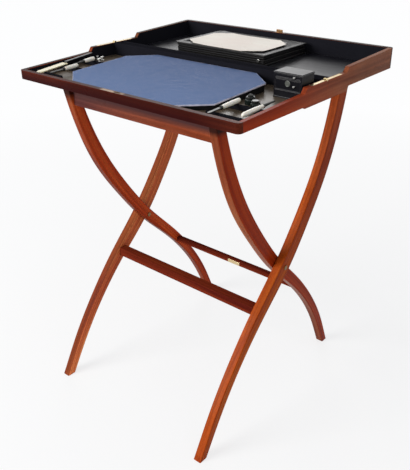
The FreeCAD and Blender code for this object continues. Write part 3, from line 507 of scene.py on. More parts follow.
def mahogany(name, grain, tones, graded=None, rim=None, painted_flank=None, shaded=None, sheen=0.03):
    # grain is an axis, or a curved leg's middle line; the other tones lie over the board's own: tones
    # graded in along an axis (painted light on the rail, the front wall's corner and the outer right leg),
    # painted shade on the rim, painted light and shade on the flanks, and a darker band by height
    f = Finish(name)
    lay = straight_grain if isinstance(grain, str) else swept_grain
    wood = use(f.tree, WOOD_GRAIN, Along_X=lay(f.tree, f.place, grain))
    worn = f.worn(1.6 * MM)
    polish = f.shared(HANDLING)
    figure = wood.outputs["Figure"]
    colour = wood_colour(f.tree, figure, tones)
    # tones graded in along an axis: painted light on the rail, the front wall's corner and the outer right
    # leg
    if graded:
        graded_tones, axis, span = graded
        share = f.between(f.along(axis), *span)
        colour = f.blended(share, colour, wood_colour(f.tree, figure, graded_tones))
    # painted light and shade: faces that look along X take their own tones
    if painted_flank:
        colour = f.blended(facing(f.tree, "X"), colour, wood_colour(f.tree, figure, painted_flank))
    ribbon = f.between(wood.outputs["Stripe"], 0.35, 0.65, 0.78, 1.16)
    colour = brightened(f.tree, colour, ribbon)
    pore_colour = tuple(c * 0.2 for c in tones[0])
    colour = f.blended(f.times(wood.outputs["Pores"], 0.6), colour, pore_colour)
    rubbed = tuple(min(1.0, c * 1.5 + 0.02) for c in tones[-1])
    colour = f.blended(f.times(worn, 0.45), colour, rubbed)
    # a darker band between two heights: painted shade under the leaf on the rail and the inner legs
    if shaded:
        heights, darkened_colour, cleared_by_graded = shaded
        shade = f.between(f.along("Z"), *heights)
        if cleared_by_graded:
            shade = f.times(shade, f.between(share, 0.0, 1.0, 1.0, 1.0 - cleared_by_graded))
        colour = f.blended(shade, colour, darkened_colour)
    # painted shade laid on upward faces
    if rim:
        colour = f.blended(facing(f.tree, "Z"), colour, rim)
    f.driven("Base Color", colour)
    rough = f.between(polish.outputs["Clouds"], 0.3, 0.7, 0.24, 0.40)
    f.driven("Roughness", f.plus(rough, f.times(worn, 0.15)))
    f.fixed(Coat_Weight=sheen / 2, Coat_Roughness=0.14, Specular_IOR_Level=sheen)
    f.relief(f.times(wood.outputs["Pores"], -1.0), 0.05 * MM, 0.6)
    return f.material


LACQUER_BLACKS = ((0.003, 0.003, 0.005), (0.009, 0.009, 0.012))
RUBBED_BLACKS = ((0.009, 0.009, 0.012), (0.015, 0.015, 0.020))


def black_lacquer(name, shine, wear, scratched=1.0, blacks=LACQUER_BLACKS, smoothness=0.18, second_tone=None):
    f = Finish(name)
    worn = f.worn(0.9 * MM)
    polish = f.shared(HANDLING)
    tone = f.blended(polish.outputs["Clouds"], *blacks)
    # painted sheen: upward faces take a grey tone, the reflection of the bright room laid into the colour
    if second_tone:
        tone = f.blended(facing(f.tree, "Z"), tone, second_tone)
    tone = f.blended(f.times(worn, wear), tone, (0.20, 0.18, 0.19))
    f.driven("Base Color", tone)
    rough = f.between(polish.outputs["Clouds"], 0.3, 0.7, smoothness, smoothness + 0.16)
    scratches = f.times(polish.outputs["Hairlines"], scratched)
    f.driven("Roughness", f.plus(rough, f.times(scratches, 0.2)))
    f.fixed(Coat_Weight=shine / 4, Coat_Roughness=0.12, Specular_IOR_Level=shine)
    f.relief(scratches, -0.01 * MM, 0.4)
    return f.material


def dark_lining():
    # the varnished brown-black paper that lines the beds, scuffed by the tools that slide on it;
    # its brown is its own dark colour, lightened by a painted reflection of the bright room
    f = Finish("dark lining paper")
    fibre = f.shared(PAPER_FIBRE)
    polish = f.shared(HANDLING)
    # the lining's own dark brown, lightened by a painted reflection of the bright room
    tone = f.blended(fibre.outputs["Tone"], (0.064, 0.047, 0.032), (0.118, 0.090, 0.062))
    scuffs = f.times(polish.outputs["Hairlines"], 0.4)
    f.driven("Base Color", f.blended(scuffs, tone, (0.16, 0.13, 0.11)))
    f.driven("Roughness", f.between(polish.outputs["Clouds"], 0.3, 0.7, 0.24, 0.42))
    f.fixed(Specular_IOR_Level=0.45)
    f.relief(fibre.outputs["Fibre"], 0.02 * MM, 0.4)
    return f.material


def black_leather(name, shine):
    f = Finish(name)
    pebbles = add(f.tree, "ShaderNodeTexVoronoi", feature="SMOOTH_F1")
    pebbles.inputs["Scale"].default_value = 1.0
    f.tree.links.new(scaled(f.tree, f.place, (820.0, 820.0, 820.0)), pebbles.inputs["Vector"])
    creases = f.clouds((70.0, 70.0, 70.0), 6.0, 1.2)
    height = f.plus(pebbles.outputs["Distance"], f.times(creases, 0.8))
    worn = f.worn(1.1 * MM)
    tone = f.blended(creases, (0.004, 0.004, 0.005), (0.011, 0.0105, 0.011))
    f.driven("Base Color", f.blended(f.times(worn, 0.6), tone, (0.14, 0.115, 0.10)))
    f.driven("Roughness", f.between(creases, 0.3, 0.7, 0.34, 0.52))
    f.fixed(Specular_IOR_Level=shine)
    f.relief(height, 0.12 * MM, 0.55)
    return f.material


# where the blue grows darker towards the back
PAD_DARKER_BETWEEN = (-0.21, -0.02)


def blue_paper():
    f = Finish("blue writing paper")
    fibre = f.shared(PAPER_FIBRE)
    worn = f.worn(1.8 * MM)
    front_tone = f.blended(fibre.outputs["Tone"], (0.102, 0.166, 0.330), (0.128, 0.204, 0.398))
    second_tone = f.blended(fibre.outputs["Tone"], (0.080, 0.127, 0.257), (0.102, 0.157, 0.311))
    # the blue grows darker towards the back
    towards_back = f.between(f.along("Y"), *PAD_DARKER_BETWEEN)
    tone = f.blended(towards_back, front_tone, second_tone)
    tone = f.blended(f.times(fibre.outputs["Spots"], 0.25), tone, (0.07, 0.09, 0.17))
    # the rubbed and cut edges of the sheets are paler in their own colour, and made paler still as a
    # painted highlight
    tone = f.blended(f.between(worn, 0.0, 0.5), tone, (0.80, 0.78, 0.92))
    cut_edge = facing(f.tree, "Z", none=0.75, full=0.45)
    tone = f.blended(cut_edge, tone, (0.90, 0.86, 0.98))
    speckle = f.between(fibre.outputs["Fibre"], 0.3, 0.7, 0.90, 1.10)
    f.driven("Base Color", brightened(f.tree, tone, speckle))
    f.fixed(Roughness=0.78, Specular_IOR_Level=0.15)
    f.relief(fibre.outputs["Fibre"], 0.04 * MM, 0.5)
    return f.material


def letter_paper(name, colour, aged):
    f = Finish(name)
    fibre = f.shared(PAPER_FIBRE)
    tone = f.blended(f.between(fibre.outputs["Tone"], 0.35, 0.7), colour, aged)
    tone = f.blended(f.times(fibre.outputs["Spots"], 0.35), tone, (0.50, 0.36, 0.22))
    f.driven("Base Color", tone)
    f.fixed(Roughness=0.72, Specular_IOR_Level=0.3)
    f.relief(fibre.outputs["Fibre"], 0.03 * MM, 0.5)
    return f.material


def bone(name, streaked, middle_tone, pale):
    f = Finish(name)
    streaks = f.clouds((420.0, 22.0, 420.0), 4.0, 0.3)
    pits = f.between(f.clouds((2600.0, 500.0, 2600.0), 1.0), 0.70, 0.80)
    polish = f.shared(HANDLING)
    tone = colour_steps(f.tree, streaks, ((0.30, streaked), (0.44, middle_tone), (0.75, pale)))
    tone = f.blended(f.times(pits, 0.35), tone, (0.50, 0.36, 0.20))
    f.driven("Base Color", tone)
    f.driven("Roughness", f.between(polish.outputs["Clouds"], 0.3, 0.7, 0.22, 0.38))
    f.fixed(Subsurface_Weight=0.12, Subsurface_Radius=(0.004, 0.003, 0.002), Subsurface_Scale=1.0,
            Coat_Weight=0.7)
    f.relief(f.times(pits, -1.0), 0.03 * MM, 0.5)
    return f.material


def metal(name, bright, tarnished, smoothness=0.22):
    f = Finish(name)
    polish = f.shared(HANDLING)
    worn = f.worn(0.5 * MM)
    dull = f.between(polish.outputs["Clouds"], 0.42, 0.70)
    tone = f.blended(dull, bright, tarnished)
    f.driven("Base Color", f.blended(f.times(worn, 0.6), tone, bright))
    rough = f.between(dull, 0.0, 1.0, smoothness, smoothness + 0.2)
    scratched = f.times(polish.outputs["Hairlines"], 0.12)
    f.driven("Roughness", f.plus(rough, scratched))
    f.fixed(Metallic=1.0)
    f.relief(polish.outputs["Hairlines"], -0.008 * MM, 0.4)
    return f.material


def dark_glaze():
    f = Finish("dark glaze")
    pools = f.clouds((120.0, 120.0, 60.0), 3.0, 0.5)
    f.driven("Base Color", f.blended(pools, (0.004, 0.007, 0.006), (0.016, 0.022, 0.020)))
    f.driven("Roughness", f.between(pools, 0.3, 0.7, 0.06, 0.16))
    f.fixed(Coat_Weight=0.05, Coat_Roughness=0.06, Specular_IOR_Level=0.15)
    f.relief(pools, 0.05 * MM, 0.25)
    return f.material


def thread():
    f = Finish("waxed black thread")
    twist = add(f.tree, "ShaderNodeTexWave", wave_type="BANDS", bands_direction="DIAGONAL")
    twist.inputs["Scale"].default_value = 1500.0
    f.tree.links.new(f.place, twist.inputs["Vector"])
    wax = f.blended(twist.outputs["Fac"], (0.015, 0.014, 0.014), (0.050, 0.047, 0.045))
    f.driven("Base Color", wax)
    f.fixed(Roughness=0.6)
    f.relief(twist.outputs["Fac"], 0.05 * MM, 0.5)
    return f.material


# the deep, middle and light tones of each board
DARK_TONES = ((0.024, 0.002, 0.001), (0.050, 0.0055, 0.0015), (0.088, 0.012, 0.004))
RED_TONES = ((0.141, 0.010, 0.0015), (0.250, 0.023, 0.003), (0.384, 0.050, 0.0075))
RAIL_TONES = ((0.052, 0.011, 0.010), (0.086, 0.025, 0.023), (0.122, 0.042, 0.036))
BAR_TONES = ((0.085, 0.010, 0.006), (0.150, 0.021, 0.008), (0.225, 0.043, 0.011))
# painted shade: the tops of the left and back boards darker than their faces
RIM_PAINTED_SHADE = (0.022, 0.014, 0.008)


def tones_around(red, green, blue):
    middle_tone = (red, green, blue)
    return (0.62 * red, 0.45 * green, 0.5 * blue), middle_tone, (1.42 * red, 2.1 * green, 2.1 * blue)


# tones graded in along an axis: its tones, the axis along which they come in, and from where to where;
# on the rail, the front wall's corner and the outer right leg they are painted light
# the side boards turn more orange towards the back
SIDES_GRADED = (((0.155, 0.046, 0.021), (0.255, 0.090, 0.042), (0.345, 0.142, 0.070)), "Y", (-0.12, 0.14))
# painted light: the rail grows brighter towards the right, where the light falls
RAIL_PAINTED_LIGHT = (((0.175, 0.030, 0.009), (0.295, 0.066, 0.023), (0.420, 0.108, 0.036)), "X", (-0.15, 0.14))
# painted light: the front wall grows lighter and redder at its right corner
FRONT_CORNER_PAINTED_LIGHT = (((0.055, 0.008, 0.004), (0.105, 0.019, 0.008), (0.160, 0.035, 0.015)), "X", (0.17, 0.28))
# painted light: the outer right leg grows lighter towards its top
LEG_PAINTED_LIGHT = {"outer_right": (tones_around(0.87, 0.20, 0.052), "Y", (0.09, 0.155))}

# a darker band by height: between which heights, its colour, and how far the graded tones clear it;
# painted shade under the leaf on the rail and inner legs, while the front wall only grows darker towards
# the bottom
# the front wall grows darker towards the bottom
FRONT_WALL_DARKENING = ((0.699, 0.687), (0.022, 0.0012, 0.0010), 0.6)
# painted shade under the leaf on the top of the rail
RAIL_SHADE = ((0.645, 0.657), (0.066, 0.026, 0.025), 0)
# painted shade under the leaf on the tops of the inner legs
LEG_SHADE = {"inner_right": ((0.648, 0.658), (0.030, 0.006, 0.003), 0),
             "inner_left": ((0.636, 0.658), (0.030, 0.006, 0.003), 0)}

# each leg has its own middle tone on its narrow front, partly its own wood and partly painted light and
# shade, and a second middle tone on its flat sides that is painted light and shade
LEG_COLOURS = {
    "inner_right": ((0.225, 0.054, 0.018), (0.30, 0.029, 0.004)),
    "inner_left": ((0.20, 0.032, 0.009), (0.45, 0.052, 0.011)),
    "outer_right": ((0.39, 0.067, 0.008), (0.34, 0.047, 0.001)),
    "outer_left": ((0.185, 0.032, 0.010), (0.66, 0.160, 0.054))}


def middle_line_of(node):
    # heights and backs of a leg's middle line, from foot to top
    mesh = NODES[node].data
    low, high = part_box(node)
    steps = 9
    margin = 12 * MM
    found = []
    for i in range(steps):
        height = low[2] + margin + (high[2] - low[2] - 2 * margin) * i / (steps - 1)
        backs = []
        for edge in mesh.edges:
            a, b = (mesh.vertices[v].co for v in edge.vertices)
            if (a.z - height) * (b.z - height) < 0:
                backs.append(a.y + (b.y - a.y) * (height - a.z) / (b.z - a.z))
        found.append((height, (min(backs) + max(backs)) / 2))
    return found


DARK_WOOD = mahogany("dark mahogany, grain side to side", "X", DARK_TONES)
FRONT_WOOD = mahogany("dark mahogany front, grain side to side", "X", DARK_TONES, FRONT_CORNER_PAINTED_LIGHT,
                      shaded=FRONT_WALL_DARKENING)
SIDE_WOOD = {
    side: mahogany(f"mahogany {side} sides, grain front to back", "Y", RED_TONES, SIDES_GRADED, rim)
    for side, rim in (("right", None), ("left", RIM_PAINTED_SHADE))}
BACK_WOOD = mahogany("dark mahogany back, grain side to side", "X", DARK_TONES, rim=RIM_PAINTED_SHADE)
RAIL_WOOD = mahogany("mahogany rail, grain side to side", "X", RAIL_TONES, RAIL_PAINTED_LIGHT, shaded=RAIL_SHADE)
BAR_WOOD = mahogany("mahogany bars, grain side to side", "X", BAR_TONES, sheen=0.0)
LEG_WOOD = {
    leg: mahogany(f"mahogany {leg} leg", middle_line_of(f"{leg}_leg"), tones_around(*front),
                  LEG_PAINTED_LIGHT.get(leg), painted_flank=tones_around(*flat), shaded=LEG_SHADE.get(leg))
    for leg, (front, flat) in LEG_COLOURS.items()}
# the grey on this lacquer's upward faces is painted sheen
LACQUER = black_lacquer("black lacquer", shine=0.07, wear=0.5, second_tone=(0.23, 0.23, 0.235))
BED_LACQUER = black_lacquer("black lacquer, smooth bed", shine=0.37, wear=0.3, scratched=0.1,
                            smoothness=0.26)
DULL_LACQUER = black_lacquer("black lacquer rubbed dull", shine=0.0, wear=0.12, blacks=RUBBED_BLACKS)
BED_LINING = dark_lining()
LEATHER = black_leather("black leather", shine=0.12)
SHINY_LEATHER = black_leather("black leather, polished border", shine=0.65)
BLUE = blue_paper()
CREAM = letter_paper("cream letter paper", (0.96, 0.92, 0.85), (0.92, 0.84, 0.78))
GREY_PAPER = letter_paper("thin grey envelope paper", (0.26, 0.26, 0.27), (0.17, 0.17, 0.17))
BONE = bone("polished bone", (0.90, 0.80, 0.60), (0.97, 0.93, 0.82), (0.98, 0.96, 0.89))
YELLOW_BONE = bone("yellowed bone", (0.86, 0.72, 0.40), (0.95, 0.86, 0.56), (0.97, 0.92, 0.68))
STEEL = metal("bright steel", (0.50, 0.50, 0.48), (0.26, 0.26, 0.25))
GREY_METAL = metal("dull grey metal", (0.150, 0.160, 0.145), (0.085, 0.090, 0.082), 0.34)
DARK_STEEL = metal("blackened steel", (0.060, 0.060, 0.058), (0.030, 0.032, 0.030), 0.30)
BRASS = metal("polished brass", (0.83, 0.68, 0.40), (0.56, 0.42, 0.22), 0.20)
TONED_BRASS = metal("brass gone brown", (0.200, 0.115, 0.055), (0.085, 0.048, 0.024), 0.30)
GLAZE = dark_glaze()
THREAD = thread()


# ---------------- putting a piece on the object

def fit(obj, finish, body, instead_of=()):
    obj.data.materials.clear()
    obj.data.materials.append(finish)
    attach(obj, body)
    if instead_of:
        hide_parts(*instead_of)


def fit_for(node, obj, finish):
    # a finished piece that stands for one solid
    fit(obj, finish, NODES[node]["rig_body"], [node])


def dressed(node, finish, edge, steps=2):
    # a solid with its edges eased and its finish on
    fit_for(node, ease_edges(copy_of(node), edge, steps), finish)


def plain(node, finish):
    # a solid that keeps its own crisp shape and only takes its finish
    NODES[node].data.materials.clear()
    NODES[node].data.materials.append(finish)


# ---------------- the case

def make_case():
    for half, bed in (("base", BED_LACQUER), ("leaf", BED_LINING)):
        for side in ("right", "left"):
            dressed(f"{half}_{side}_wall", SIDE_WOOD[side], edge=0.8 * MM)
        plain(f"{half}_floor", DARK_WOOD)
        dressed(f"{half}_hinge_wall", DULL_LACQUER, edge=0.6 * MM)
        plain(f"{half}_bed_lining", bed)
        plain(f"{half}_wall_lining", DULL_LACQUER)
        dressed(f"{half}_hinge_plates", BRASS, edge=0.25 * MM)
    dressed("base_back_wall", BACK_WOOD, edge=0.8 * MM)
    dressed("leaf_front_wall", FRONT_WOOD, edge=1.5 * MM, steps=3)
    dressed("base_partition", DULL_LACQUER, edge=0.8 * MM)
    dressed("link_plate", TONED_BRASS, edge=0.25 * MM)
    dressed("lock_plate", TONED_BRASS, edge=0.15 * MM, steps=1)
    dressed("hinge_pins", BRASS, edge=0.15 * MM)


HINGE_SCREW = 1.9 * MM
SMALL_SCREW = 1.4 * MM
SCREW_HEAD = 0.6 * MM
SCREW_FROM_END = 3 * MM
PLATE_THICK = 1.2 * MM


def slotted_screw(radius):
    # a countersunk head with its driver slot, just proud enough to catch the light
    head = turned("screw", -UP * SCREW_HEAD, UP, ((0, radius * 0.7), (SCREW_HEAD, radius)), sides=20)
    edit(head)
    pick(head, "faces", lambda f: f.normal.z > 0.9)
    bpy.ops.mesh.inset(thickness=0.18 * MM, depth=0.05 * MM)
    done()
    # the slot runs out past the head at both ends, so that the cut is clean
    past = radius + MM
    cut_away(head, block("driver slot", (-past, -0.22 * MM, -0.35 * MM), (past, 0.22 * MM, MM)))
    return smooth(head, angle=30)


def make_screws():
    for node in ("base_hinge_screws", "leaf_hinge_screws"):
        low, high = corners(node)
        xs = (low.x + HINGE_SCREW, high.x - HINGE_SCREW)
        ys = (low.y + HINGE_SCREW, middle(node).y, high.y - HINGE_SCREW)
        screws = copies_at([(x, y, high.z) for x in xs for y in ys], slotted_screw(HINGE_SCREW))
        fit_for(node, join(node + "_finished", screws), BRASS)
    for plate, body in (("link_plate", "box_base"), ("lock_plate", "front_leaf")):
        low, high = corners(plate)
        xs = (low.x + SCREW_FROM_END, high.x - SCREW_FROM_END)
        places = [(x, middle(plate).y, low.z + PLATE_THICK) for x in xs]
        screws = copies_at(places, slotted_screw(SMALL_SCREW))
        fit(join(plate + "_screws", screws), TONED_BRASS, body)


# ---------------- writing pad

WRITING_SLOPE = math.radians(2.0)
ALONG_SLOPE = Vector((0, math.cos(WRITING_SLOPE), math.sin(WRITING_SLOPE)))


def lean(obj, pivot):
    # tips a piece that was made level, so that it lies along the writing slope
    tip = Matrix.Rotation(WRITING_SLOPE, 4, "X")
    obj.matrix_world = Matrix.Translation(pivot) @ tip @ Matrix.Translation(-pivot)
    return settle(obj)


def cut_corners(obj, low, high, run_x, run_y, solid=True):
    # cuts a straight piece off each corner, and closes the cut where the piece is solid
    edit(obj)
    for sx in (-1, 1):
        for sy in (-1, 1):
            x = high[0] if sx > 0 else low[0]
            y = high[1] if sy > 0 else low[1]
            bpy.ops.mesh.select_all(action="SELECT")
            bpy.ops.mesh.bisect(plane_co=(x - sx * run_x, y, 0), plane_no=(sx * run_y, sy * run_x, 0),
                                use_fill=solid, clear_outer=True)
    done()


PAD_THICK = 2.5 * MM
PAD_CORNER = (51 * MM, 42 * MM)
PAD_SHEETS = 4
PAD_SLIP = 0.35 * MM


def make_pad():
    # sheets that have slipped a little on each other
    low, high = corners("writing_pad")
    pitch = PAD_THICK / PAD_SHEETS
    places = [Vector((math.sin(2.1 * i), math.cos(3.7 * i), 0)) * PAD_SLIP + UP * i * pitch
              for i in range(PAD_SHEETS)]
    sheet = block("pad sheet", low, (high.x, high.y, low.z + pitch * 0.9))
    cut_corners(sheet, low, high, *PAD_CORNER)
    pad = lean(join("writing_pad_finished", copies_at(places, sheet)), low)
    fit_for("writing_pad", ease_edges(pad, width=0.12 * MM, steps=1), BLUE)
    dressed("pad_board", LEATHER, edge=1.2 * MM, steps=3)


# ---------------- tools

def make_blades():
    dressed("paper_knife_blade", YELLOW_BONE, edge=0.9 * MM, steps=3)
    dressed("paper_knife_handle", LACQUER, edge=0.5 * MM)
    dressed("knife_blades", DARK_STEEL, edge=0.55 * MM)
    dressed("tool_rests", DULL_LACQUER, edge=0.7 * MM)


def end_of(node, at_front):
    # one end of a round tool that lies along the slope, the way into it, its length and radius
    low, high = corners(node)
    radius = (high.x - low.x) / 2
    length = (high.y - low.y - 2 * radius * math.sin(WRITING_SLOPE)) / math.cos(WRITING_SLOPE)
    way = ALONG_SLOPE if at_front else -ALONG_SLOPE
    return (low + high) / 2 - way * length / 2, way, length, radius


def turned_tool(node, shape, at_front):
    return turned_to(shape, node + "_finished", *end_of(node, at_front))


def turned_handle(tool, at_front):
    # collar at the working end, slim waist, swelling and a rounded end
    node = f"{tool}_handle"
    shape = ((0.0, 0.62), (0.02, 0.78), (0.05, 0.80), (0.06, 0.72), (0.09, 0.74), (0.16, 0.88),
             (0.35, 0.97), (0.60, 1.0), (0.84, 0.99), (0.94, 0.88), (0.98, 0.62), (1.0, 0.25))
    fit_for(node, smooth(turned_tool(node, shape, at_front), angle=50), BONE)


def ferrule(tool, at_front):
    end, way, _, radius = end_of(f"{tool}_handle", at_front)
    wide = radius * 0.88
    profile = ((0, wide * 0.85), (0.4 * MM, wide), (2.4 * MM, wide), (2.8 * MM, wide * 0.9))
    ring = turned(f"{tool}_ferrule", end - way * 0.1 * MM, way, profile)
    fit(smooth(ring, angle=30), DARK_STEEL, "front_leaf")


def turned_shank(tool, at_front):
    # slim at the working end, with two rings below the handle
    node = f"{tool}_shank"
    shape = ((0.0, 0.45), (0.02, 0.62), (0.45, 0.78), (0.80, 1.0), (0.84, 0.8), (0.90, 1.0), (1.0, 1.0))
    fit_for(node, smooth(turned_tool(node, shape, at_front), angle=35), DARK_STEEL)


# whether the working end lies to the front
WORKS_AT_FRONT = {"left_knife": True, "right_knife": True, "seal": True, "bone_folder": False}


def make_tools():
    make_blades()
    for tool, at_front in WORKS_AT_FRONT.items():
        turned_handle(tool, at_front)
    for tool, at_front in WORKS_AT_FRONT.items():
        ferrule(tool, at_front)
    for tool in ("seal", "bone_folder"):
        turned_shank(tool, WORKS_AT_FRONT[tool])


def middles_of_parts(node):
    # middles of the loose parts of a solid that has several
    copy = another(NODES[node], "parts")
    copy.parent = None
    edit(copy, "VERT")
    bpy.ops.mesh.select_all(action="SELECT")
    bpy.ops.mesh.remove_doubles(threshold=WELD)
    bpy.ops.mesh.separate(type="LOOSE")
    done()
    found = []
    for part in list(bpy.context.selected_objects):
        xs = [v.co.x for v in part.data.vertices]
        ys = [v.co.y for v in part.data.vertices]
        found.append(((min(xs) + max(xs)) / 2, (min(ys) + max(ys)) / 2))
        bpy.data.objects.remove(part)
    return sorted(found)


SEAL_RADIUS = 4.5 * MM
POT_RADII = (10.0 * MM, 8.5 * MM)


def make_desk_seals():
    low, high = corners("desk_seals")
    shape = ((0.0, 0.94), (0.05, 1.0), (0.14, 1.0), (0.20, 0.70), (0.30, 0.42), (0.48, 0.34), (0.56, 0.44),
             (0.62, 0.36), (0.72, 0.62), (0.84, 0.84), (0.93, 0.78), (0.98, 0.48), (1.0, 0.15))
    seal = turned_to(shape, "desk seal", (0, 0, 0), UP, high.z - low.z, SEAL_RADIUS, sides=24)
    seals = copies_at([(x, y, low.z) for x, y in middles_of_parts("desk_seals")], seal)
    fit_for("desk_seals", smooth(join("desk_seals_finished", seals), angle=50), STEEL)


def make_pots():
    node = "ink_and_pounce_pots"
    low, high = corners(node)
    height = high.z - low.z
    pot = ((0.0, 0.90), (0.04, 1.0), (0.52, 1.0), (0.60, 0.96), (0.68, 0.80), (0.74, 0.70), (0.92, 0.70),
           (1.0, 0.66))
    collar = ((0.74, 0.73), (0.76, 0.78), (0.90, 0.78), (0.93, 0.70))
    pots = []
    collars = []
    for (x, y), radius in zip(middles_of_parts(node), POT_RADII):
        pots.append(turned_to(pot, "pot", (x, y, low.z), UP, height, radius, sides=40))
        collars.append(turned_to(collar, "pot collar", (x, y, low.z), UP, height, radius, sides=40))
    fit_for(node, smooth(join("ink_and_pounce_pots_finished", pots), angle=35), GLAZE)
    fit(smooth(join("pot_collars", collars), angle=30), DARK_STEEL, "front_leaf")


def make_pot_cap():
    low, high = corners("ink_pot_cap")
    base = (middle("ink_pot_cap").x, middle("ink_pot_cap").y, low.z)
    shape = ((0.0, 0.98), (0.10, 1.0), (0.45, 1.0), (0.55, 0.86), (0.80, 0.60), (0.95, 0.34), (1.0, 0.12))
    cap = turned_to(shape, "ink_pot_cap_finished", base, UP, high.z - low.z, (high.x - low.x) / 2)
    fit_for("ink_pot_cap", smooth(cap, angle=40), DARK_STEEL)


# ---------------- casket

def drawer_with_panel(node):
    obj = copy_of(node)
    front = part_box(node)[0][1]
    edit(obj)
    pick(obj, "faces", lambda f: f.normal.y < -0.9 and abs(f.calc_center_median().y - front) < 0.1 * MM)
    bpy.ops.mesh.inset(thickness=1.1 * MM, depth=0)
    bpy.ops.mesh.inset(thickness=0.4 * MM, depth=-0.45 * MM)
    done()
    fit_for(node, ease_edges(obj, width=0.25 * MM), LACQUER)


def turned_to_front(node, shape, sides):
    # lathe work that stands out from the casket's front and fills the box round a solid
    low, high = corners(node)
    base = (middle(node).x, high.y, middle(node).z)
    return turned_to(shape, node + "_finished", base, TO_FRONT, high.y - low.y, (high.x - low.x) / 2, sides)


def turned_knob(node):
    shape = ((0.0, 0.62), (0.06, 0.66), (0.12, 0.44), (0.40, 0.40), (0.52, 0.62), (0.62, 0.95), (0.76, 1.0),
             (0.88, 0.84), (0.97, 0.46), (1.0, 0.14))
    fit_for(node, smooth(turned_to_front(node, shape, sides=28), angle=50), STEEL)


def make_escutcheon():
    node = "drawer_escutcheon"
    low, high = corners(node)
    centre = middle(node)
    rings = ((0.0, 1.0), (0.45, 1.0), (0.9, 0.93), (1.0, 0.84), (0.80, 0.76), (0.55, 0.70), (0.55, 0.30),
             (0.9, 0.24), (0.9, 0.05))
    plate = turned_to_front(node, rings, sides=40)
    hole_low = (centre.x - 0.5 * MM, low.y - MM, centre.z - 2.2 * MM)
    hole_high = (centre.x + 0.5 * MM, high.y - 0.25 * MM, centre.z)
    cut_away(plate, block("keyhole", hole_low, hole_high))
    fit_for(node, smooth(plate, angle=35), GREY_METAL)


def casket_moulding(name, reach, bottom, top):
    # a band that stands out all round the casket's body
    low, high = corners("casket_body")
    band = block(name, (low.x - reach, low.y - reach, bottom), (high.x + reach, high.y + reach, top))
    fit(ease_edges(band, width=0.7 * MM, steps=3), LACQUER, "front_leaf")


def make_casket():
    dressed("casket_body", LACQUER, edge=0.4 * MM)
    low, high = corners("casket_body")
    casket_moulding("casket_plinth_moulding", 0.8 * MM, low.z, low.z + 2.2 * MM)
    casket_moulding("casket_lid_moulding", 0.9 * MM, high.z - 3.6 * MM, high.z - 1.4 * MM)
    for node in ("lower_drawer", "upper_drawer"):
        drawer_with_panel(node)
        turned_knob(node + "_knob")
    make_escutcheon()


# ---------------- portfolio and letters

# how far each leaf of the folder is cut back, from the lowest up
FOLDER_LEAVES = (0.0, 2.2 * MM, 0.6 * MM, 2.6 * MM, 0.3 * MM)


def make_portfolio():
    low, high = corners("portfolio_body")
    pitch = (high.z - low.z) / len(FOLDER_LEAVES)
    leaves = []
    for i, inset in enumerate(FOLDER_LEAVES):
        bottom = low.z + i * pitch
        leaf = block("folder leaf", (low.x + inset * 0.5, low.y + inset * 0.6, bottom + 0.1 * MM),
                     (high.x - inset, high.y - inset * 0.5, bottom + pitch - 0.1 * MM))
        leaves.append(leaf)
    body = join("portfolio_body_finished", leaves)
    fit_for("portfolio_body", ease_edges(body, width=1.5 * MM, steps=4), LEATHER)
    make_portfolio_cover()
    dressed("portfolio_stud", STEEL, edge=0.3 * MM, steps=3)


def make_portfolio_cover():
    # the cover has a shallow pocket with a panel laid in it, so a fine dark groove runs round
    cover = copy_of("portfolio_cover")
    low, high = corners("portfolio_cover")
    border, groove, sunk = 10 * MM, 1.1 * MM, 0.8 * MM
    rim = Vector((border, border, 0))
    gap = Vector((groove, groove, 0))
    pocket = high.z - low.z - sunk
    cut_away(cover, block("pocket", low + rim + UP * pocket, high - rim + UP * MM))
    ease_edges(cover, width=0.35 * MM)
    panel = block("portfolio_cover_panel", low + rim + gap + UP * (pocket - 0.1 * MM),
                  high - rim - gap - UP * 0.1 * MM)
    fit(ease_edges(panel, width=0.3 * MM), LEATHER, "box_base")
    fit_for("portfolio_cover", cover, SHINY_LEATHER)
    make_stitching()


STITCH_LENGTH = 2.4 * MM
STITCH_PITCH = 3.6 * MM
STITCH_FROM_EDGE = 4.0 * MM


def make_stitching():
    # four rows of stitches, one along each edge of the cover
    low, high = corners("portfolio_cover")
    top = high.z + 0.05 * MM
    thick, thin = 0.3 * MM, 0.12 * MM
    profile = ((0, thin), (thick, thick), (STITCH_LENGTH - thick, thick), (STITCH_LENGTH, thin))
    one = turned("stitch", (0, 0, 0), (1, 0, 0), profile, sides=6)
    made = []
    for along_x in (True, False):
        start = (low.x if along_x else low.y) + STITCH_FROM_EDGE + STITCH_PITCH
        end = (high.x if along_x else high.y) - STITCH_FROM_EDGE - STITCH_PITCH
        for i in range(int((end - start) / STITCH_PITCH)):
            at = start + i * STITCH_PITCH
            for side, inward in ((low, STITCH_FROM_EDGE), (high, -STITCH_FROM_EDGE)):
                stitch = another(one, "stitch")
                if along_x:
                    stitch.location = (at, side.y + inward, top)
                else:
                    stitch.rotation_mode = "XYZ"
                    stitch.rotation_euler = (0, 0, math.pi / 2)
                    stitch.location = (side.x + inward, at, top)
                made.append(stitch)
    bpy.data.objects.remove(one)
    row = settle(join("portfolio_stitching", made))
    fit(smooth(row, angle=60), THREAD, "box_base")


PAPER_THICK = 0.14 * MM


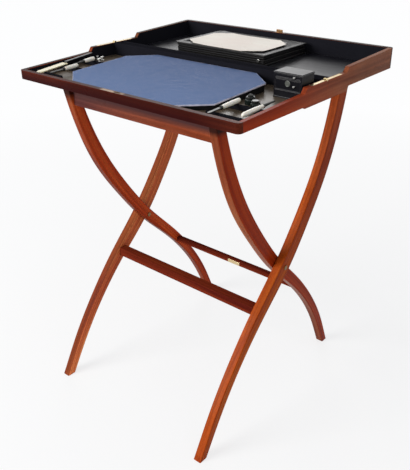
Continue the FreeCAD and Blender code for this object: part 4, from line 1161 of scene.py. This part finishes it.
def leaf_of_paper(name, centre, size, corner, turn, lift, seed):
    # one sheet with cut corners, soft waves, a faint fold and lifting edges; the turn is in degrees
    put_all_down()
    bpy.ops.mesh.primitive_grid_add(x_subdivisions=48, y_subdivisions=36, size=1)
    sheet = bpy.context.object
    sheet.name = name
    sheet.scale = (size[0], size[1], 1)
    settle(sheet)
    half = Vector((size[0] / 2, size[1] / 2, 0))
    cut_corners(sheet, -half, half, *corner, solid=False)
    for vert in sheet.data.vertices:
        u, v = vert.co.x / half.x, vert.co.y / half.y
        wave = noise.noise(Vector((u * 1.3, v * 1.1, seed))) * 0.9 * MM
        fine = noise.noise(Vector((u * 4.0, v * 4.0, seed + 7))) * 0.18 * MM
        rise = max(0.0, abs(u) + abs(v) - 1.15) ** 2 * lift
        fold = -0.35 * MM * math.exp(-(v / 0.05) ** 2)
        vert.co.z = max(0.9 * MM + wave + fine + rise + fold, 0.15 * MM)
    body = sheet.modifiers.new("paper", "SOLIDIFY")
    body.thickness = PAPER_THICK
    body.offset = 1
    apply_modifier(sheet, body)
    sheet.rotation_euler = (0, 0, math.radians(turn))
    sheet.location = centre
    settle(sheet)
    take_up(sheet)
    bpy.ops.object.shade_smooth_by_angle(angle=math.radians(50))
    return sheet


LETTER = (198 * MM, 132 * MM)
LETTER_CORNER = (33 * MM, 28 * MM)
ENVELOPE = (190 * MM, 120 * MM)
ENVELOPE_CORNER = (6 * MM, 6 * MM)


def make_letters():
    low = corners("letter_sheets")[0]
    centre = middle("letter_sheets")
    pile = Vector((centre.x - 4 * MM, centre.y, low.z))
    envelope = leaf_of_paper("grey_envelope", pile + Vector((-12, 10, 0.1)) * MM, ENVELOPE,
                             ENVELOPE_CORNER, turn=-6, lift=2.0 * MM, seed=3.0)
    fit(envelope, GREY_PAPER, "box_base")
    second = leaf_of_paper("second_letter_sheet", pile + Vector((-1.5, 1, 1.3)) * MM, LETTER,
                           LETTER_CORNER, turn=-2.5, lift=2.0 * MM, seed=11.0)
    fit(second, CREAM, "box_base")
    top = leaf_of_paper("letter_sheets_finished", pile + UP * 1.6 * MM, LETTER,
                        LETTER_CORNER, turn=-1, lift=3.0 * MM, seed=11.0)
    fit_for("letter_sheets", top, CREAM)


# ---------------- stand

def rounded_part(node, finish):
    # a solid that is already rounded: welded, and shaded evenly
    fit_for(node, smooth(copy_of(node)), finish)


def make_cross_washers():
    # rubbed down a hair on the face that runs against the inner leg
    washers = copy_of("cross_washers")
    running_face = min(abs(v.co.x) for v in washers.data.vertices)
    for side in (-1, 1):
        edit(washers, "VERT")
        pick(washers, "verts", lambda v: abs(v.co.x - side * running_face) < 0.01 * MM)
        bpy.ops.transform.translate(value=(side * 0.06 * MM, 0, 0))
        done()
    fit_for("cross_washers", smooth(washers, angle=35), TONED_BRASS)


def make_stand():
    for leg, wood in LEG_WOOD.items():
        rounded_part(f"{leg}_leg", wood)
    dressed("inner_top_rail", RAIL_WOOD, edge=0.8 * MM)
    for bar in ("front_stretcher", "back_stretcher"):
        dressed(bar, BAR_WOOD, edge=0.5 * MM)
    dressed("top_pivot_cleats", SIDE_WOOD["right"], edge=0.6 * MM)
    rounded_part("cross_pins", TONED_BRASS)
    make_cross_washers()
    rounded_part("top_pivot_pins", TONED_BRASS)
    dressed("stretcher_plaque", BRASS, edge=0.2 * MM)


make_case()
make_screws()
make_pad()
make_tools()
make_desk_seals()
make_pots()
make_pot_cap()
make_casket()
make_portfolio()
make_letters()
make_stand()


# ---------------- room, light and camera

# the camera's place, its angles in radians and its lens in mm
HINGE_Y = middle("hinge_pins").y
VIEW_FROM = Vector((0.8154, HINGE_Y - 0.9587, 0.9937))
VIEW_TURN = 0.712
VIEW_DOWN = 0.489
VIEW_TILT = -0.014
LENS = 55.97

# the floor goes to plain white away from the object: its share of white near it, and over which distances
FLOOR_WHITE_NEAR = 0.74
FLOOR_FADES_BETWEEN = (0.5, 2.2)

DAYLIGHT = (1.0, 0.985, 0.96)


def seen_directly(tree):
    # 1 where the eye, a mirror or a glass looks at the backdrop, 0 where it only lights things
    path = add(tree, "ShaderNodeLightPath")
    either = math_of(tree, "MAXIMUM", path.outputs["Is Camera Ray"], path.outputs["Is Glossy Ray"])
    return math_of(tree, "MAXIMUM", either, path.outputs["Is Transmission Ray"])


def make_floor():
    put_all_down()
    bpy.ops.mesh.primitive_plane_add(size=60)
    floor = bpy.context.object
    floor.name = "floor"
    f = Finish("pale floor")
    tone = f.clouds((3.0, 3.0, 3.0), 2.0)
    f.driven("Base Color", f.blended(tone, (0.90, 0.91, 0.92), (0.93, 0.94, 0.95)))
    f.fixed(Roughness=0.9, Specular_IOR_Level=0.1)
    away = add(f.tree, "ShaderNodeVectorMath", operation="LENGTH")
    f.tree.links.new(f.place, away.inputs[0])
    fade = f.between(away.outputs["Value"], *FLOOR_FADES_BETWEEN, FLOOR_WHITE_NEAR, 1.0)
    white = add(f.tree, "ShaderNodeEmission")
    white.inputs["Color"].default_value = (0.985, 0.988, 0.995, 1.0)
    mix = add(f.tree, "ShaderNodeMixShader")
    f.tree.links.new(f.times(seen_directly(f.tree), fade), mix.inputs[0])
    f.tree.links.new(f.shader.outputs["BSDF"], mix.inputs[1])
    f.tree.links.new(white.outputs["Emission"], mix.inputs[2])
    f.tree.links.new(mix.outputs["Shader"], f.tree.nodes["Material Output"].inputs["Surface"])
    floor.data.materials.append(f.material)


def lamp(name, place, target, size, power, colour=(1.0, 1.0, 1.0)):
    data = bpy.data.lights.new(name, "AREA")
    data.shape = "DISK"
    data.size = size
    data.energy = power
    data.color = colour
    obj = bpy.data.objects.new(name, data)
    obj.location = place
    obj.rotation_euler = (Vector(target) - Vector(place)).to_track_quat("-Z", "Y").to_euler()
    bpy.context.scene.collection.objects.link(obj)


def make_light():
    top = (0, 0, 0.6)
    lamp("window", (-1.6, -3.1, 1.9), top, size=2.2, power=128, colour=DAYLIGHT)
    lamp("low window", (-0.5, -3.2, 0.35), top, size=1.2, power=10, colour=DAYLIGHT)
    lamp("fill", (2.6, -1.6, 1.6), top, size=2.0, power=11, colour=(0.95, 0.97, 1.0))
    lamp("behind", (-2.1, 2.5, 2.35), top, size=1.6, power=16)
    world = bpy.data.worlds.new("white room")
    world.use_nodes = True
    bpy.context.scene.world = world
    tree = world.node_tree
    background = tree.nodes["Background"]
    strength = between(tree, seen_directly(tree), 0.0, 1.0, 0.44, 1.0)
    background.inputs["Color"].default_value = (1.0, 1.0, 1.0, 1.0)
    tree.links.new(strength, background.inputs["Strength"])


def make_camera():
    data = bpy.data.cameras.new("camera")
    data.sensor_fit = "HORIZONTAL"
    data.sensor_width = 36
    data.lens = LENS
    camera = bpy.data.objects.new("camera", data)
    turn = Matrix.Rotation(VIEW_TURN, 4, "Z")
    down = Matrix.Rotation(math.pi / 2 - VIEW_DOWN, 4, "X")
    tilt = Matrix.Rotation(VIEW_TILT, 4, "Z")
    camera.matrix_world = Matrix.Translation(VIEW_FROM) @ turn @ down @ tilt
    bpy.context.scene.collection.objects.link(camera)
    bpy.context.scene.camera = camera


make_floor()
make_light()
make_camera()
bpy.context.scene.view_settings.view_transform = "Standard"
